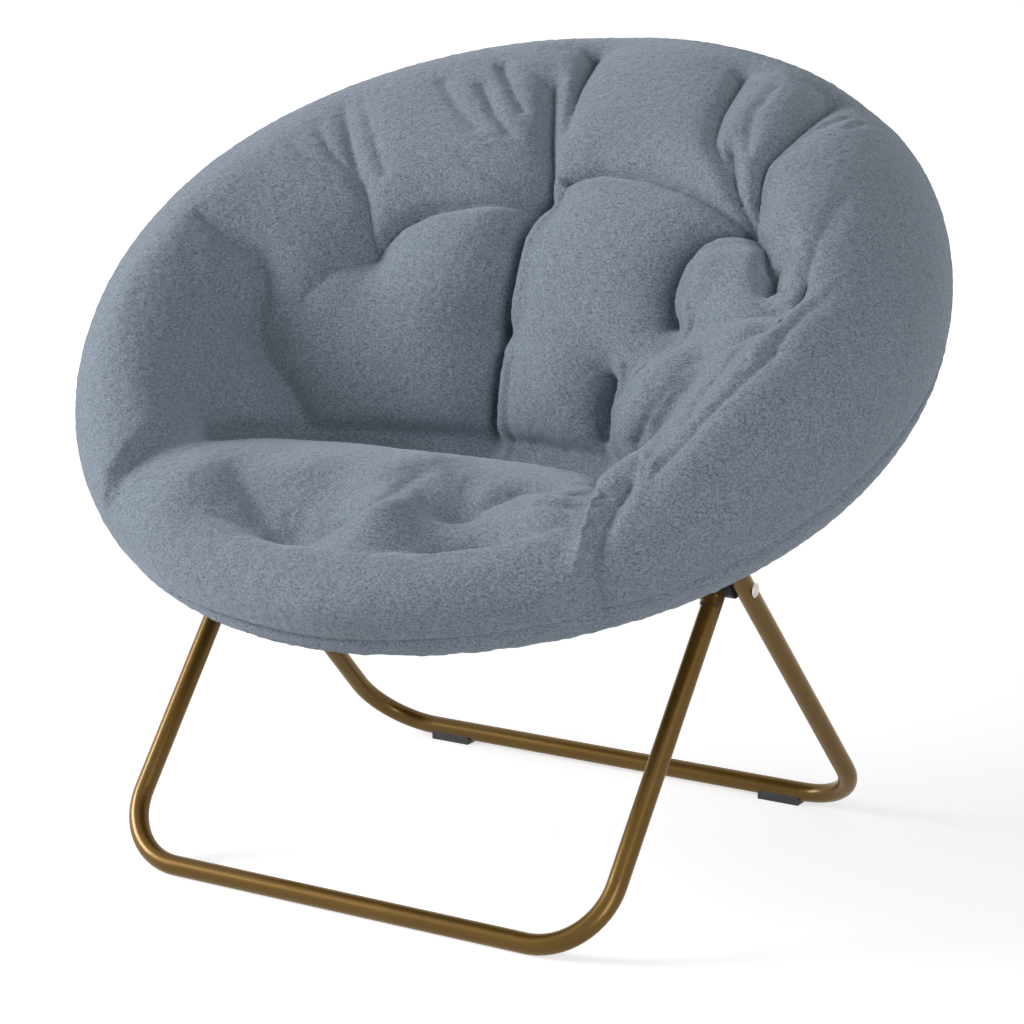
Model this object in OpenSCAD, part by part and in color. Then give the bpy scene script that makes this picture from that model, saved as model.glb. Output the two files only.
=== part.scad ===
// Folding saucer chair: two crossed U legs, a seat ring hinged in two arcs and a tufted cushion.
// Units are millimetres. +Z is up, -Y is the front, and the floor is at Z = 0.

/* [Leg tubes] */
// Outside diameter of every frame tube
tube_d = 22; // [20:1:25]
// Wall of every frame tube
tube_wall = 1.2; // [1:0.1:2]
// Half of the distance between the front legs, centre to centre
front_half_w = 300; // [280:1:310]
// Side gap between a front leg and a rear leg
leg_gap = 10; // [8:0.5:12]
// Distance between the two floor rails, centre to centre
rail_gap = 572.4; // [560:0.1:590]
// Centreline radius of the bends into the floor rails
bend_r = 78; // [60:1:95]
// Length of each leg past its top rivet
leg_end = 10; // [8:0.5:11]

/* [Feet] */
// Thickness of the rear feet under the tube
foot_h = 4; // [3:0.5:6]
// Length of a rear foot along the rail
foot_len = 52; // [40:1:70]
// Width of a rear foot
foot_w = 20; // [16:1:22]
// Distance of a rear foot from the bend at its end of the rail
foot_inset = 1; // [0:0.5:40]
// Height of the foot's sides above the bottom of the tube
foot_grip = 7; // [4:0.5:9]

/* [Seat ring] */
// How far the seat ring's centreline lies outside the front legs' centres
ring_margin = 130; // [120:1:140]
// Tilt of the seat ring, front down
ring_tilt = 28.7; // [28:0.1:29.5]
// Middle of the seat ring behind the middle of the rails
ring_y = 32; // [24:0.5:40]
// Height of the middle of the seat ring
ring_z = 571.5; // [560:0.5:585]
// Distance from the ring tube's centre to a front leg's top rivet
back_reach = 46.3; // [40:0.1:55]
// Distance from the ring tube's centre to a rear leg's top rivet
seat_reach = 62.1; // [55:0.1:70]
// Distance of the ring hinges in front of the ring's middle
hinge_front = 112.7; // [105:0.1:120]
// Distance from a ring hinge to each arc's end fitting
hinge_cut = 31; // [28:0.5:36]
// Length of the end fitting's plug
plug_len = 8; // [6:0.5:12]
// Thickness of the hinge plates
hinge_plate = 2.5; // [2:0.1:3]
// Thickness of the hinge tongue
tongue_plate = 3; // [2.5:0.1:4]
// Radius of the hinge plates' round ends
hinge_end_r = 8; // [7:0.5:9]
// Half height of the hinge plates' base
hinge_base_h = 6.5; // [5:0.5:7]
// Side clearance of moving plates
side_gap = 0.3; // [0.2:0.05:0.5]

/* [Lugs and rivets] */
// Radius of the main rivets
rivet_r = 4; // [3:0.25:5]
// Running clearance around a rivet
rivet_gap = 0.06; // [0.04:0.01:0.1]
// Radius of the main rivets' domed heads
head_r = 8; // [7:0.5:9]
// Height of the main rivets' heads
head_h = 2.6; // [2:0.1:3.5]
// Thickness of the lugs' ears
ear_t = 2.5; // [2:0.1:3.5]
// Half height of the lugs' ears
ear_r = 10; // [9:0.5:11]
// Clearance between a leg tube and a lug's ear
ear_gap = 0.4; // [0.3:0.05:0.8]
// Space between a leg's top end and the lug's web
web_gap = 4; // [3:0.5:6]
// Thickness of the lug's web
web_t = 3; // [2:0.1:4]

/* [Cross pivot] */
// Radius of the nylon spacer between the legs
spacer_r = 12; // [10:0.5:13]
// Axial play of the spacer
spacer_play = 0.15; // [0.1:0.05:0.25]
// Width of the cross bracket
bracket_w = 16; // [14:0.5:18]
// Sheet thickness of the cross bracket
bracket_t = 2.5; // [2:0.1:3]
// Reach of the cross bracket behind the front leg's centre
bracket_reach = 34; // [28:1:40]
// Length of the cross bracket below the pivot
bracket_drop = 27; // [22:1:32]
// Length of the cross bracket above the pivot
bracket_rise = 12; // [8:1:16]
// Thickness of the nylon liner between bracket and leg
liner_t = 1.6; // [1:0.1:2.5]
// Radius of the small rivets' heads
small_head_r = 3.2; // [2.5:0.1:4]
// Height of the small rivets' heads
small_head_h = 1.4; // [1:0.1:2]

/* [Cushion] */
// How far the cushion reaches past the ring's centreline on average
bulge_out = 53.5; // [48:0.5:60]
// Change of that radius from side to front and back
bulge_oval = 4.5; // [3:0.5:12]
// How much further out the widest line lies at the back than on average
bulge_shift = 7.5; // [0:0.5:10]
// Height of the widest line above the ring's plane
bulge_h = 4; // [2:1:15]
// Crown height of the cushion at the front lip
crown_front = 38; // [36:1:55]
// Crown height of the cushion at the sides
crown_side = 129; // [120:1:158]
// Crown height of the cushion at the back
crown_back = 145; // [135:1:162]
// How far the crown line lies inside the ring's centreline in front
crown_in_front = 25; // [18:1:35]
// How far the crown line lies inside the ring's centreline at the sides
crown_in_side = 48; // [40:1:120]
// How far the crown line lies inside the ring's centreline at the back
crown_in_back = 140; // [135:1:180]
// Depth of the hanging rim below the ring's plane in front
drop_front = 64; // [52:1:75]
// Depth of the hanging rim at the sides
drop_side = 94; // [75:1:100]
// Depth of the hanging rim at the back
drop_back = 52; // [46:1:75]
// Distance of the crease's corners inside the front legs' centres
crease_in = 43; // [38:1:55]
// Distance of the crease's corners behind the ring's front
crease_corner_back = 204; // [190:1:215]
// Distance of the crease's middle behind the ring's front
crease_middle_back = 342; // [330:1:350]
// Depth of the crease's corners below the ring's plane
crease_corner_h = 21; // [15:1:30]
// Extra depth of the crease in the middle
crease_dip = 77; // [60:1:85]
// Thickness of the padding under the crease
crease_pad = 62; // [50:1:75]
// Ring angle at which the crease meets the rim
notch_angle = 37; // [35:0.5:40]
// Ring angle at which the side rolls end and the back pad begins
roll_end_angle = 128; // [122:1:134]
// Gap between neighbouring cushion sections
pad_gap = 1; // [0.6:0.1:1.5]
// Depth of the back tufts
back_tuft = 34; // [20:1:40]
// Depth of the front seat tufts
seat_tuft = 46; // [25:1:50]
// Depth of the middle seat tuft
middle_tuft = 62; // [40:1:70]
// Spread of a tuft
tuft_spread = 42; // [34:1:55]
// Depth of the valleys between the back tufts
back_valley = 22; // [8:1:28]
// Depth of the valleys between the seat tufts
seat_valley = 18; // [8:1:24]
// Spread of a valley
valley_spread = 30; // [22:1:40]
// Fullness of the back's rise from the crease, behind
back_puff = 3; // [1.5:0.1:3.5]
// Fullness of the side rolls' rise from the crease
side_puff = 1.4; // [1.2:0.1:3.5]
// Fullness of the seat's rise from the crease
seat_puff = 2; // [1.5:0.1:3]

/* [Sleeve] */
// Thickness of the sleeve cloth around the ring
sleeve_t = 1.3; // [1:0.1:2]
// Clearance of the sleeve on the ring tube
sleeve_gap = 0.3; // [0.2:0.05:0.5]

/* [Fold] */
// Angle through which the front arc folds over the back arc
fold_max = 124; // [95:1:126]
// Middle of the chair's depth behind the middle of the rails
origin_y = 40.307; // [0:0.05:60]

/* [Hidden] */
$fn = 48;
tube_r = tube_d / 2;
bore_r = tube_r - tube_wall;
overrun = 2 * tube_wall;
rear_half_w = front_half_w + tube_d + leg_gap;
foot_x = rear_half_w - bend_r - foot_inset - foot_len / 2;
ring_r = front_half_w + ring_margin;
bulge_r = ring_r + bulge_out;
crease_half_w = front_half_w - crease_in;
crease_corner = ring_r - crease_corner_back;
crease_middle = ring_r - crease_middle_back;
front_y = -rail_gap / 2;
rear_y = rail_gap / 2;
front_z = tube_r;
rear_z = tube_r + foot_h;
rivet_hole_r = rivet_r + rivet_gap;

// Distance of the ring's centreline in front of or behind its middle, at a side place
function ring_u(x) = sqrt(ring_r ^ 2 - x ^ 2);

// A point of the side view, taken into the tilted frame of the seat ring
function seat_u(y, z) = (y - ring_y) * cos(ring_tilt) + (z - ring_z) * sin(ring_tilt);
function seat_w(y, z) = (z - ring_z) * cos(ring_tilt) - (y - ring_y) * sin(ring_tilt);

// Top rivets in the ring's plane, and the run and lean of each leg from its rail up to them
back_pivot_u = ring_u(front_half_w) - back_reach;
seat_pivot_u = seat_reach - ring_u(rear_half_w);
back_pivot = [ring_y + back_pivot_u * cos(ring_tilt), ring_z + back_pivot_u * sin(ring_tilt)];
seat_pivot = [ring_y + seat_pivot_u * cos(ring_tilt), ring_z + seat_pivot_u * sin(ring_tilt)];
front_run = norm(back_pivot - [front_y, front_z]);
rear_run = norm(seat_pivot - [rear_y, rear_z]);
front_lean = atan2(back_pivot[0] - front_y, back_pivot[1] - front_z);
rear_lean = atan2(rear_y - seat_pivot[0], seat_pivot[1] - rear_z);

// The legs cross where their side views meet
cross_z =
    (rail_gap + front_z * tan(front_lean) + rear_z * tan(rear_lean)) / (tan(front_lean) + tan(rear_lean));
cross_y = front_y + (cross_z - front_z) * tan(front_lean);
front_cross_run = (cross_z - front_z) / cos(front_lean);
rear_cross_run = (cross_z - rear_z) / cos(rear_lean);

// Ring hinge places
hinge_angle = acos(hinge_front / ring_r);
hinge_x = ring_r * sin(hinge_angle);
cut_angle = hinge_cut / ring_r * 180 / PI;
arc_angle = (hinge_cut + plug_len) / ring_r * 180 / PI;

// Angles between the links at rest and folded, from the lengths of the four-bar linkage
link_back = back_pivot_u + hinge_front;
link_seat = -hinge_front - seat_pivot_u;
cross_u = seat_u(cross_y, cross_z);
cross_w = seat_w(cross_y, cross_z);
link_front_leg = norm([back_pivot_u - cross_u, cross_w]);
link_rear_leg = norm([seat_pivot_u - cross_u, cross_w]);
function pivot_span(fold) =
    sqrt(link_back ^ 2 + link_seat ^ 2 - 2 * link_back * link_seat * cos(180 - fold));
function corner_angle(p, q, facing) = acos((p ^ 2 + q ^ 2 - facing ^ 2) / (2 * p * q));
function leg_angle(fold) = corner_angle(link_front_leg, link_rear_leg, pivot_span(fold));
function ring_angle(fold) =
    corner_angle(link_front_leg, pivot_span(fold), link_rear_leg)
    - asin(link_seat * sin(180 - fold) / pivot_span(fold));
leg_ratio = (leg_angle(0) - leg_angle(fold_max)) / fold_max;
ring_ratio = (ring_angle(0) - ring_angle(fold_max)) / fold_max;
echo(back_pivot_y = back_pivot[0] - origin_y, back_pivot_z = back_pivot[1]);
echo(cross_y = cross_y - origin_y, cross_z = cross_z, leg_ratio = leg_ratio, ring_ratio = ring_ratio);
echo(
    hinge_y = ring_y - hinge_front * cos(ring_tilt) - origin_y,
    hinge_z = ring_z - hinge_front * sin(ring_tilt)
);

gold = [0.45, 0.31, 0.1];
black = [0.06, 0.06, 0.065];
steel = [0.75, 0.76, 0.78];
fleece = [0.42, 0.47, 0.53];

// Puts a child drawn about the rails' middle into the part's frame
module placed() translate([0, -origin_y, 0]) children();

// Puts a child drawn in the ring's own plane into the part's frame
module in_seat() placed() translate([0, ring_y, ring_z]) rotate([ring_tilt, 0, 0]) children();

// Puts a child drawn along a leg, with local Z up the leg, into the part's frame
module along_front_leg() placed() translate([0, front_y, front_z]) rotate([-front_lean, 0, 0]) children();
module along_rear_leg() placed() translate([0, rear_y, rear_z]) rotate([rear_lean, 0, 0]) children();

// A rod along X, from one side place to another
module cross_rod(x, len, r) translate([x, 0, 0]) rotate([0, 90, 0]) cylinder(h = len, r = r);

// The solid of a U leg: floor rail, two bends and two straight legs
module u_leg(half_w, len, r) {
    rail = half_w - bend_r;
    translate([-rail, 0, 0]) rotate([0, 90, 0]) cylinder(h = 2 * rail, r = r);
    for (s = [0, 1])
        mirror([s, 0, 0]) {
            translate([rail, 0, bend_r])
                rotate([90, 0, 0]) rotate([0, 0, -90]) rotate_extrude(angle = 90)
                    translate([bend_r, 0]) circle(r = r);
            translate([half_w, 0, bend_r]) cylinder(h = len - bend_r, r = r);
        }
}

// A hollow U leg with its two pairs of rivet holes
module leg_tube(half_w, len, cross_run, top_run)
    color(gold) difference() {
        u_leg(half_w, len, tube_r);
        u_leg(half_w, len + overrun, bore_r);
        for (run = [cross_run, top_run], s = [-1, 1])
            translate([s * half_w - tube_r - overrun, 0, run]) rotate([0, 90, 0])
                cylinder(h = tube_d + 2 * overrun, r = rivet_hole_r);
    }

module front_leg()
    along_front_leg() leg_tube(front_half_w, front_run + leg_end, front_cross_run, front_run);
module rear_leg() along_rear_leg() leg_tube(rear_half_w, rear_run + leg_end, rear_cross_run, rear_run);

// Black end plugs closing the four leg tops
module leg_plugs(half_w, len)
    color(black) for (s = [-1, 1])
        translate([s * half_w, 0, len - plug_depth]) cylinder(h = plug_depth, r = bore_r - side_gap);
plug_depth = leg_end - rivet_hole_r - tube_wall;
module front_leg_plugs() along_front_leg() leg_plugs(front_half_w, front_run + leg_end);
module rear_leg_plugs() along_rear_leg() leg_plugs(rear_half_w, rear_run + leg_end);

// Black foot clipped under the rear rail
module rear_foot(side)
    placed() color(black) difference() {
        translate([side * foot_x - foot_len / 2, rear_y - foot_w / 2, 0])
            cube([foot_len, foot_w, foot_h + foot_grip]);
        translate([side * foot_x - foot_len / 2 - overrun, rear_y, rear_z]) rotate([0, 90, 0])
            cylinder(h = foot_len + 2 * overrun, r = tube_r);
    }

// Domed rivet head; local Z points out of the head
module head(r, h) {
    dome_r = (r ^ 2 + h ^ 2) / (2 * h);
    intersection() {
        cylinder(h = h, r = r);
        translate([0, 0, h - dome_r]) sphere(r = dome_r);
    }
}

// Rivet through both legs at the crossing, with a head at each end
module cross_rivet(side)
    placed() translate([0, cross_y, cross_z]) mirror([side < 0 ? 1 : 0, 0, 0]) color(steel) {
        inner_x = front_half_w - tube_r;
        outer_x = rear_half_w + tube_r + side_gap;
        cross_rod(inner_x, outer_x - inner_x, rivet_r);
        translate([outer_x, 0, 0]) rotate([0, 90, 0]) head(head_r, head_h);
        translate([inner_x, 0, 0]) rotate([0, -90, 0]) head(head_r, head_h);
    }

// Black nylon spacer on the rivet, between the two leg tubes
module cross_spacer(side)
    placed() translate([0, cross_y, cross_z]) mirror([side < 0 ? 1 : 0, 0, 0]) color(black) difference() {
        cross_rod(front_half_w + tube_r + spacer_play, leg_gap - 2 * spacer_play, spacer_r);
        cross_rod(front_half_w + tube_r - overrun, leg_gap + 2 * overrun, rivet_hole_r);
    }

// Outline of the cross bracket; X points back from the leg and Y points up along it
module bracket_outline(inset)
    polygon([
        [tube_r * 0.5, bracket_rise - inset], [bracket_reach * 0.62, bracket_rise - inset],
        [bracket_reach - inset, bracket_rise * 0.35], [bracket_reach * 0.94 - inset, -bracket_drop * 0.25],
        [bracket_reach * 0.66 - inset, -bracket_drop + inset], [tube_r + liner_t, -bracket_drop + inset],
        [tube_r * 0.5, -bracket_drop * 0.85 + inset]
    ]);

// Stamped bracket behind the front leg, just under the crossing; open towards the chair's middle
module cross_bracket(side)
    along_front_leg() mirror([side < 0 ? 1 : 0, 0, 0])
        translate([front_half_w + tube_r - bracket_w, 0, front_cross_run]) color(gold) difference() {
            rotate([90, 0, 90]) mirror([1, 0]) linear_extrude(bracket_w) bracket_outline(0);
            translate([-overrun, 0, 0]) rotate([90, 0, 90]) mirror([1, 0])
                linear_extrude(bracket_w - bracket_t + overrun) bracket_outline(bracket_t);
            translate([bracket_w - tube_r, 0, -bracket_drop - overrun])
                cylinder(h = bracket_drop + bracket_rise + 2 * overrun, r = tube_r + liner_t);
        }

// Black nylon liner, a half shell between the bracket and the leg
module bracket_liner(side)
    along_front_leg() mirror([side < 0 ? 1 : 0, 0, 0])
        translate([front_half_w, 0, front_cross_run - bracket_drop])
        color(black) difference() {
            rotate([0, 0, -155]) rotate_extrude(angle = 130)
                translate([tube_r, 0]) square([liner_t, bracket_drop - spacer_r]);
        }

// Two small rivet heads on the bracket's outer face
module bracket_rivets(side)
    along_front_leg() mirror([side < 0 ? 1 : 0, 0, 0])
        translate([front_half_w + tube_r, 0, front_cross_run])
        color(gold) for (p = [[0.45, 0.68], [0.6, 0.32]])
            translate([0, -tube_r - bracket_reach * (p[0] - 0.25), -bracket_drop * p[1]]) rotate([0, 90, 0])
                head(small_head_r, small_head_h);

// A stretch of the ring tube between two ring angles, counted from the front
module ring_stretch(from, to, r)
    rotate([0, 0, from - 90]) rotate_extrude(angle = to - from, $fn = 96)
        translate([ring_r, 0]) circle(r = r, $fn = 48);

module hollow_stretch(from, to, outer, inner)
    difference() {
        ring_stretch(from, to, outer);
        ring_stretch(from - cut_angle / 2, to + cut_angle / 2, inner);
    }

module ring_rear_arc()
    in_seat() color(gold)
        hollow_stretch(hinge_angle + arc_angle, 360 - hinge_angle - arc_angle, tube_r, bore_r);
module ring_front_arc()
    in_seat() color(gold) hollow_stretch(-hinge_angle + arc_angle, hinge_angle - arc_angle, tube_r, bore_r);

// A hinge plate in the plane across X, from the pin to its arc's end; toward is +1 for the rear arc
module hinge_leaf(x, t, toward)
    translate([x, -hinge_front, 0]) {
        rotate([0, 90, 0]) cylinder(h = t, r = hinge_end_r);
        translate([0, toward > 0 ? 0 : -hinge_cut, -hinge_base_h]) cube([t, hinge_cut, 2 * hinge_base_h]);
    }

// The block that joins the leaves to the arc's plug
module hinge_base(x, w, toward)
    translate([x, -hinge_front + (toward > 0 ? hinge_cut - plug_len : -hinge_cut), -hinge_base_h])
        cube([w, plug_len, 2 * hinge_base_h]);

fork_inner_x = hinge_x - tongue_plate / 2 - side_gap - hinge_plate;
fork_outer_x = hinge_x + tongue_plate / 2 + side_gap;

// Two plates and a plug on the rear arc's end
module hinge_fork(side)
    in_seat() mirror([side < 0 ? 1 : 0, 0, 0]) color(gold) difference() {
        union() {
            ring_stretch(hinge_angle + cut_angle, hinge_angle + arc_angle, tube_r);
            hinge_leaf(fork_inner_x, hinge_plate, 1);
            hinge_leaf(fork_outer_x, hinge_plate, 1);
            hinge_base(fork_inner_x, fork_outer_x + hinge_plate - fork_inner_x, 1);
        }
        translate([fork_inner_x - overrun, -hinge_front, 0]) rotate([0, 90, 0])
            cylinder(h = tube_d, r = rivet_hole_r);
    }

// One plate and a plug on the front arc's end
module hinge_tongue(side)
    in_seat() mirror([side < 0 ? 1 : 0, 0, 0]) color(gold) difference() {
        union() {
            ring_stretch(hinge_angle - arc_angle, hinge_angle - cut_angle, tube_r);
            hinge_leaf(hinge_x - tongue_plate / 2, tongue_plate, -1);
            translate([hinge_x - tube_r, -hinge_front - hinge_cut - plug_len / 2, -hinge_base_h])
                cube([tube_r + tongue_plate / 2, plug_len * 1.5, 2 * hinge_base_h]);
        }
        translate([fork_inner_x - overrun, -hinge_front, 0]) rotate([0, 90, 0])
            cylinder(h = tube_d, r = rivet_hole_r);
    }

// Rivet through fork and tongue
module hinge_rivet(side)
    in_seat() mirror([side < 0 ? 1 : 0, 0, 0]) translate([0, -hinge_front, 0]) color(steel) {
        cross_rod(fork_inner_x, fork_outer_x + hinge_plate - fork_inner_x, rivet_r);
        translate([fork_outer_x + hinge_plate, 0, 0]) rotate([0, 90, 0]) head(rivet_r * 1.6, head_h / 2);
        translate([fork_inner_x, 0, 0]) rotate([0, -90, 0]) head(rivet_r * 1.6, head_h / 2);
    }

// A lug of two ears and a web that carries a leg's top rivet; way is +1 at the back and -1 at the seat
module lug(side, half_w, pivot_u, way) {
    inner_x = half_w - tube_r - ear_gap - ear_t;
    outer_x = half_w + tube_r + ear_gap;
    web_u = abs(pivot_u) + norm([leg_end, tube_r]) + web_gap;
    in_seat() mirror([side < 0 ? 1 : 0, 0, 0]) mirror([0, way < 0 ? 1 : 0, 0]) color(gold) difference() {
        union() {
            for (x = [inner_x, outer_x])
                translate([x, 0, 0]) {
                    translate([0, abs(pivot_u), 0]) rotate([0, 90, 0]) cylinder(h = ear_t, r = ear_r);
                    translate([0, abs(pivot_u), -ear_r])
                        cube([ear_t, ring_u(x + ear_t / 2) - abs(pivot_u), 2 * ear_r]);
                }
            translate([inner_x, web_u, -ear_r]) cube([outer_x + ear_t - inner_x, web_t, 2 * ear_r]);
        }
        ring_stretch(0, 180, tube_r);
        translate([inner_x - overrun, abs(pivot_u), 0]) rotate([0, 90, 0])
            cylinder(h = outer_x + ear_t - inner_x + 2 * overrun, r = rivet_r);
    }
}
module back_lug(side) lug(side, front_half_w, back_pivot_u, 1);
module seat_lug(side) lug(side, rear_half_w, seat_pivot_u, -1);

// Rivet through the back lug and the front leg's top
module back_rivet(side)
    in_seat() mirror([side < 0 ? 1 : 0, 0, 0]) translate([0, back_pivot_u, 0]) color(steel) {
        inner_x = front_half_w - tube_r - ear_gap - ear_t;
        span = tube_d + 2 * ear_gap + 2 * ear_t;
        cross_rod(inner_x, span, rivet_r);
        translate([inner_x + span, 0, 0]) rotate([0, 90, 0]) head(head_r, head_h);
        translate([inner_x, 0, 0]) rotate([0, -90, 0]) head(head_r, head_h);
    }

// Two stub rivets, one in each ear of the seat lug, that face the rear leg's top
module seat_rivets(side)
    in_seat() mirror([side < 0 ? 1 : 0, 0, 0]) translate([0, seat_pivot_u, 0]) color(steel) {
        inner_x = rear_half_w - tube_r - ear_gap - ear_t;
        outer_x = rear_half_w + tube_r + ear_gap;
        cross_rod(inner_x, ear_t, rivet_r);
        cross_rod(outer_x, ear_t, rivet_r);
        translate([outer_x + ear_t, 0, 0]) rotate([0, 90, 0]) head(head_r, head_h);
        translate([inner_x, 0, 0]) rotate([0, -90, 0]) head(head_r, head_h);
    }

// Cloth sleeves that hold the cushion to the ring, open at the lugs and hinges
sleeve_r = tube_r + sleeve_gap + sleeve_t;
back_lug_angle = 180 - acos(ring_u(front_half_w) / ring_r);
lug_half_angle = 2.2 * ear_r / ring_r * 180 / PI + 5;
module sleeve(from, to)
    color(black) hollow_stretch(from, to, sleeve_r, tube_r + sleeve_gap);
module front_sleeve() in_seat() sleeve(-notch_angle - 3, notch_angle + 3);
module rear_sleeve()
    in_seat() {
        sleeve(back_lug_angle + lug_half_angle, 360 - back_lug_angle - lug_half_angle);
        for (s = [0, 1])
            mirror([s, 0, 0]) sleeve(hinge_angle + 2 * arc_angle, back_lug_angle - lug_half_angle);
    }

// Rim of the cushion by ring angle
function around(a, front, side, back) =
    (front + back) / 4 + side / 2
    + (front - back) / 2 * cos(a) + ((front + back) / 4 - side / 2) * cos(2 * a);
function rim_r(a) = bulge_r - bulge_shift * cos(a) - bulge_oval * cos(2 * a);
function crown_h(a) = around(a, crown_front, crown_side, crown_back);
function crown_at(a) = ring_r - around(a, crown_in_front, crown_in_side, crown_in_back);
function drop_at(a) = around(a, drop_front, drop_side, drop_back);
function edge_r(a) = skirt_r + (rim_r(a) - skirt_r) * edge_share;
skirt_r = ring_r + sleeve_r + 2 * sleeve_t;
edge_share = 0.12;

// The crease curve, by a parameter that runs from -90 at the left corner to 90 at the right corner
function crease_x(b) = crease_half_w * sin(b);
function crease_u(b) = -crease_corner + (crease_corner - crease_middle) * cos(b);
function crease_w(b) = -crease_corner_h - crease_dip * cos(b) ^ 4;

// Tuft places as shares of the ring's radius: side, and along the seat
top_tuft_share = [0, 0.31];
low_tuft_share = [0, -0.03];
side_tuft_share = [0.5, 0.22];
arm_tuft_share = [0.6, -0.2];
front_tuft_share = [0.255, -0.742];
middle_tuft_share = [0, -0.365];
function mirrored(p) = [-p[0], p[1]];

// Tufts: place and depth
tufts = [
    [top_tuft_share, back_tuft], [low_tuft_share, back_tuft * 0.8], [middle_tuft_share, middle_tuft],
    [side_tuft_share, back_tuft], [mirrored(side_tuft_share), back_tuft],
    [arm_tuft_share, back_tuft], [mirrored(arm_tuft_share), back_tuft],
    [front_tuft_share, seat_tuft], [mirrored(front_tuft_share), seat_tuft]
];

// Valleys that run from tuft to tuft and out to the crown: two ends and depth, for the right side
bow_share = [0.26, 0.33];
valleys = [
    [top_tuft_share, [0, 0.66], back_valley], [top_tuft_share, [0, -0.2], back_valley],
    [top_tuft_share, bow_share, back_valley], [bow_share, side_tuft_share, back_valley],
    [side_tuft_share, side_tuft_share * 1.45, back_valley],
    [side_tuft_share, arm_tuft_share, back_valley], [arm_tuft_share, [0.46, -0.34], back_valley],
    [middle_tuft_share, front_tuft_share, seat_valley]
];

// Depth of one tuft and of one valley at a place, given by its distance to the valley's line
function tuft_dip(t, p) =
    let (d = p - t[0] * ring_r) t[1] * exp(-(d * d) / (2 * tuft_spread ^ 2));
function valley_dip(v, p) =
    let (i = v[0] * ring_r, m = (v[1] - v[0]) * ring_r, k = max(0, min(1, (p - i) * m / (m * m))),
         d = p - i - m * k)
    v[2] * exp(-(d * d) / (2 * valley_spread ^ 2));
function dent(p) =
    let (q = [abs(p[0]), p[1]])
    max([for (v = valleys) valley_dip(v, q)]) + tuft_share * max([for (t = tufts) tuft_dip(t, p)]);
tuft_share = 0.6;

// Shares of the way from the crease to the crown, and angles round the rim
rise_shares = [0, 0.06, 0.13, 0.21, 0.3, 0.39, 0.48, 0.57, 0.67, 0.78, 0.89, 1];
outer_angles = [28, 52, 72, 90];
under_angles = [35, 65, 90];

// Share of the way from one plan point to another at which the line reaches a radius
function reach_share(p, q, r) =
    let (d = q - p, k = p * d, m = d * d)
    (-k + sqrt(k ^ 2 + m * (r ^ 2 - p * p))) / m;

// Upper line of one section, from the crease over the crown and the rim to its lowest edge
function upper_line(b, a, cw, puff, gap) =
    let (i = [crease_x(b), crease_u(b) + gap], iw = crease_w(b), o = rim_r(a) * [sin(a), -cos(a)],
         c = i + (o - i) * reach_share(i, o, crown_at(a)),
         e = i + (o - i) * reach_share(i, o, edge_r(a)))
    concat(
        [for (s = rise_shares)
            let (q = i + (c - i) * s)
            [q[0], q[1], iw + (cw - iw) * (1 - (1 - s) ^ puff) - dent(q) * sin(180 * s ^ 0.5)]],
        [for (t = outer_angles)
            let (q = c + (o - c) * sin(t))
            [q[0], q[1], bulge_h + (cw - bulge_h) * cos(t)]],
        [for (t = under_angles)
            let (q = e + (o - e) * cos(t))
            [q[0], q[1], bulge_h - (drop_at(a) + bulge_h) * sin(t)]]
    );

// Share of the way from the crease to the ring at which the underside has reached the ring's level
rest_h = sleeve_r + sleeve_gap;
shelf_h = rest_h + sleeve_t + 9 * sleeve_gap;
bowl_half_w = front_half_w - 2 * tube_r - sleeve_t;
under_shares = [0, 0.07, 0.15, 0.24, 0.33, 0.43, 0.53, 0.64, 0.76, 0.88, 1];
function shelf_share(i, q, n = 0) =
    n >= 1 ? 1 :
    let (p = i + (q - i) * n)
    (abs(p[0]) > bowl_half_w || norm(p) > ring_r - 2 * sleeve_r) ? n : shelf_share(i, q, n + 0.02);

// Lower line of one section, from under the crease along the bowl and over the ring to the rim's edge
function lower_line(b, a, gap) =
    let (i = [crease_x(b), crease_u(b) + gap], iw = crease_w(b) - crease_pad,
         o = rim_r(a) * [sin(a), -cos(a)],
         shelf_r = ring_r - 1.6 * sleeve_r, q = i + (o - i) * reach_share(i, o, shelf_r),
         shelf = max(0.06, shelf_share(i, q)), drop = drop_at(a), low_r = edge_r(a))
    concat(
        [for (s = under_shares)
            let (p = i + (q - i) * s * shelf)
            [p[0], p[1], iw + (shelf_h - iw) * s ^ 1.3]],
        [let (p = i + (q - i) * (1 + shelf) / 2) [p[0], p[1], shelf_h]],
        [for (t = [[shelf_r, shelf_h], [ring_r - sleeve_r / 2, rest_h],
                   [ring_r + sleeve_r / 2, rest_h], [skirt_r, rest_h / 2], [skirt_r, -drop * 0.4],
                   [skirt_r + (low_r - skirt_r) * 0.2, -drop * 0.8],
                   [skirt_r + (low_r - skirt_r) * 0.6, -drop * 0.96]])
            let (p = i + (o - i) * reach_share(i, o, t[0]))
            [p[0], p[1], t[1]]]
    );

// A closed solid from a list of sections, each an upper and a lower line of as many points
module section_solid(uppers, lowers) {
    count = len(uppers);
    n = len(uppers[0]);
    loop = 2 * n;
    points = [for (k = [0:count - 1]) each concat(uppers[k], [for (j = [n - 1:-1:0]) lowers[k][j]])];
    skin = [for (k = [0:count - 2], j = [0:loop - 1])
        let (p = k * loop + j, q = k * loop + (j + 1) % loop)
        each [[p, q + loop, q], [p, p + loop, q + loop]]];
    start_cap = [for (j = [0:n - 2])
        each [[j, j + 1, loop - 1 - j], [j + 1, loop - 2 - j, loop - 1 - j]]];
    last = (count - 1) * loop;
    end_cap = [for (f = start_cap) [last + f[0], last + f[2], last + f[1]]];
    polyhedron(points, concat(start_cap, skin, end_cap));
}

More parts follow.
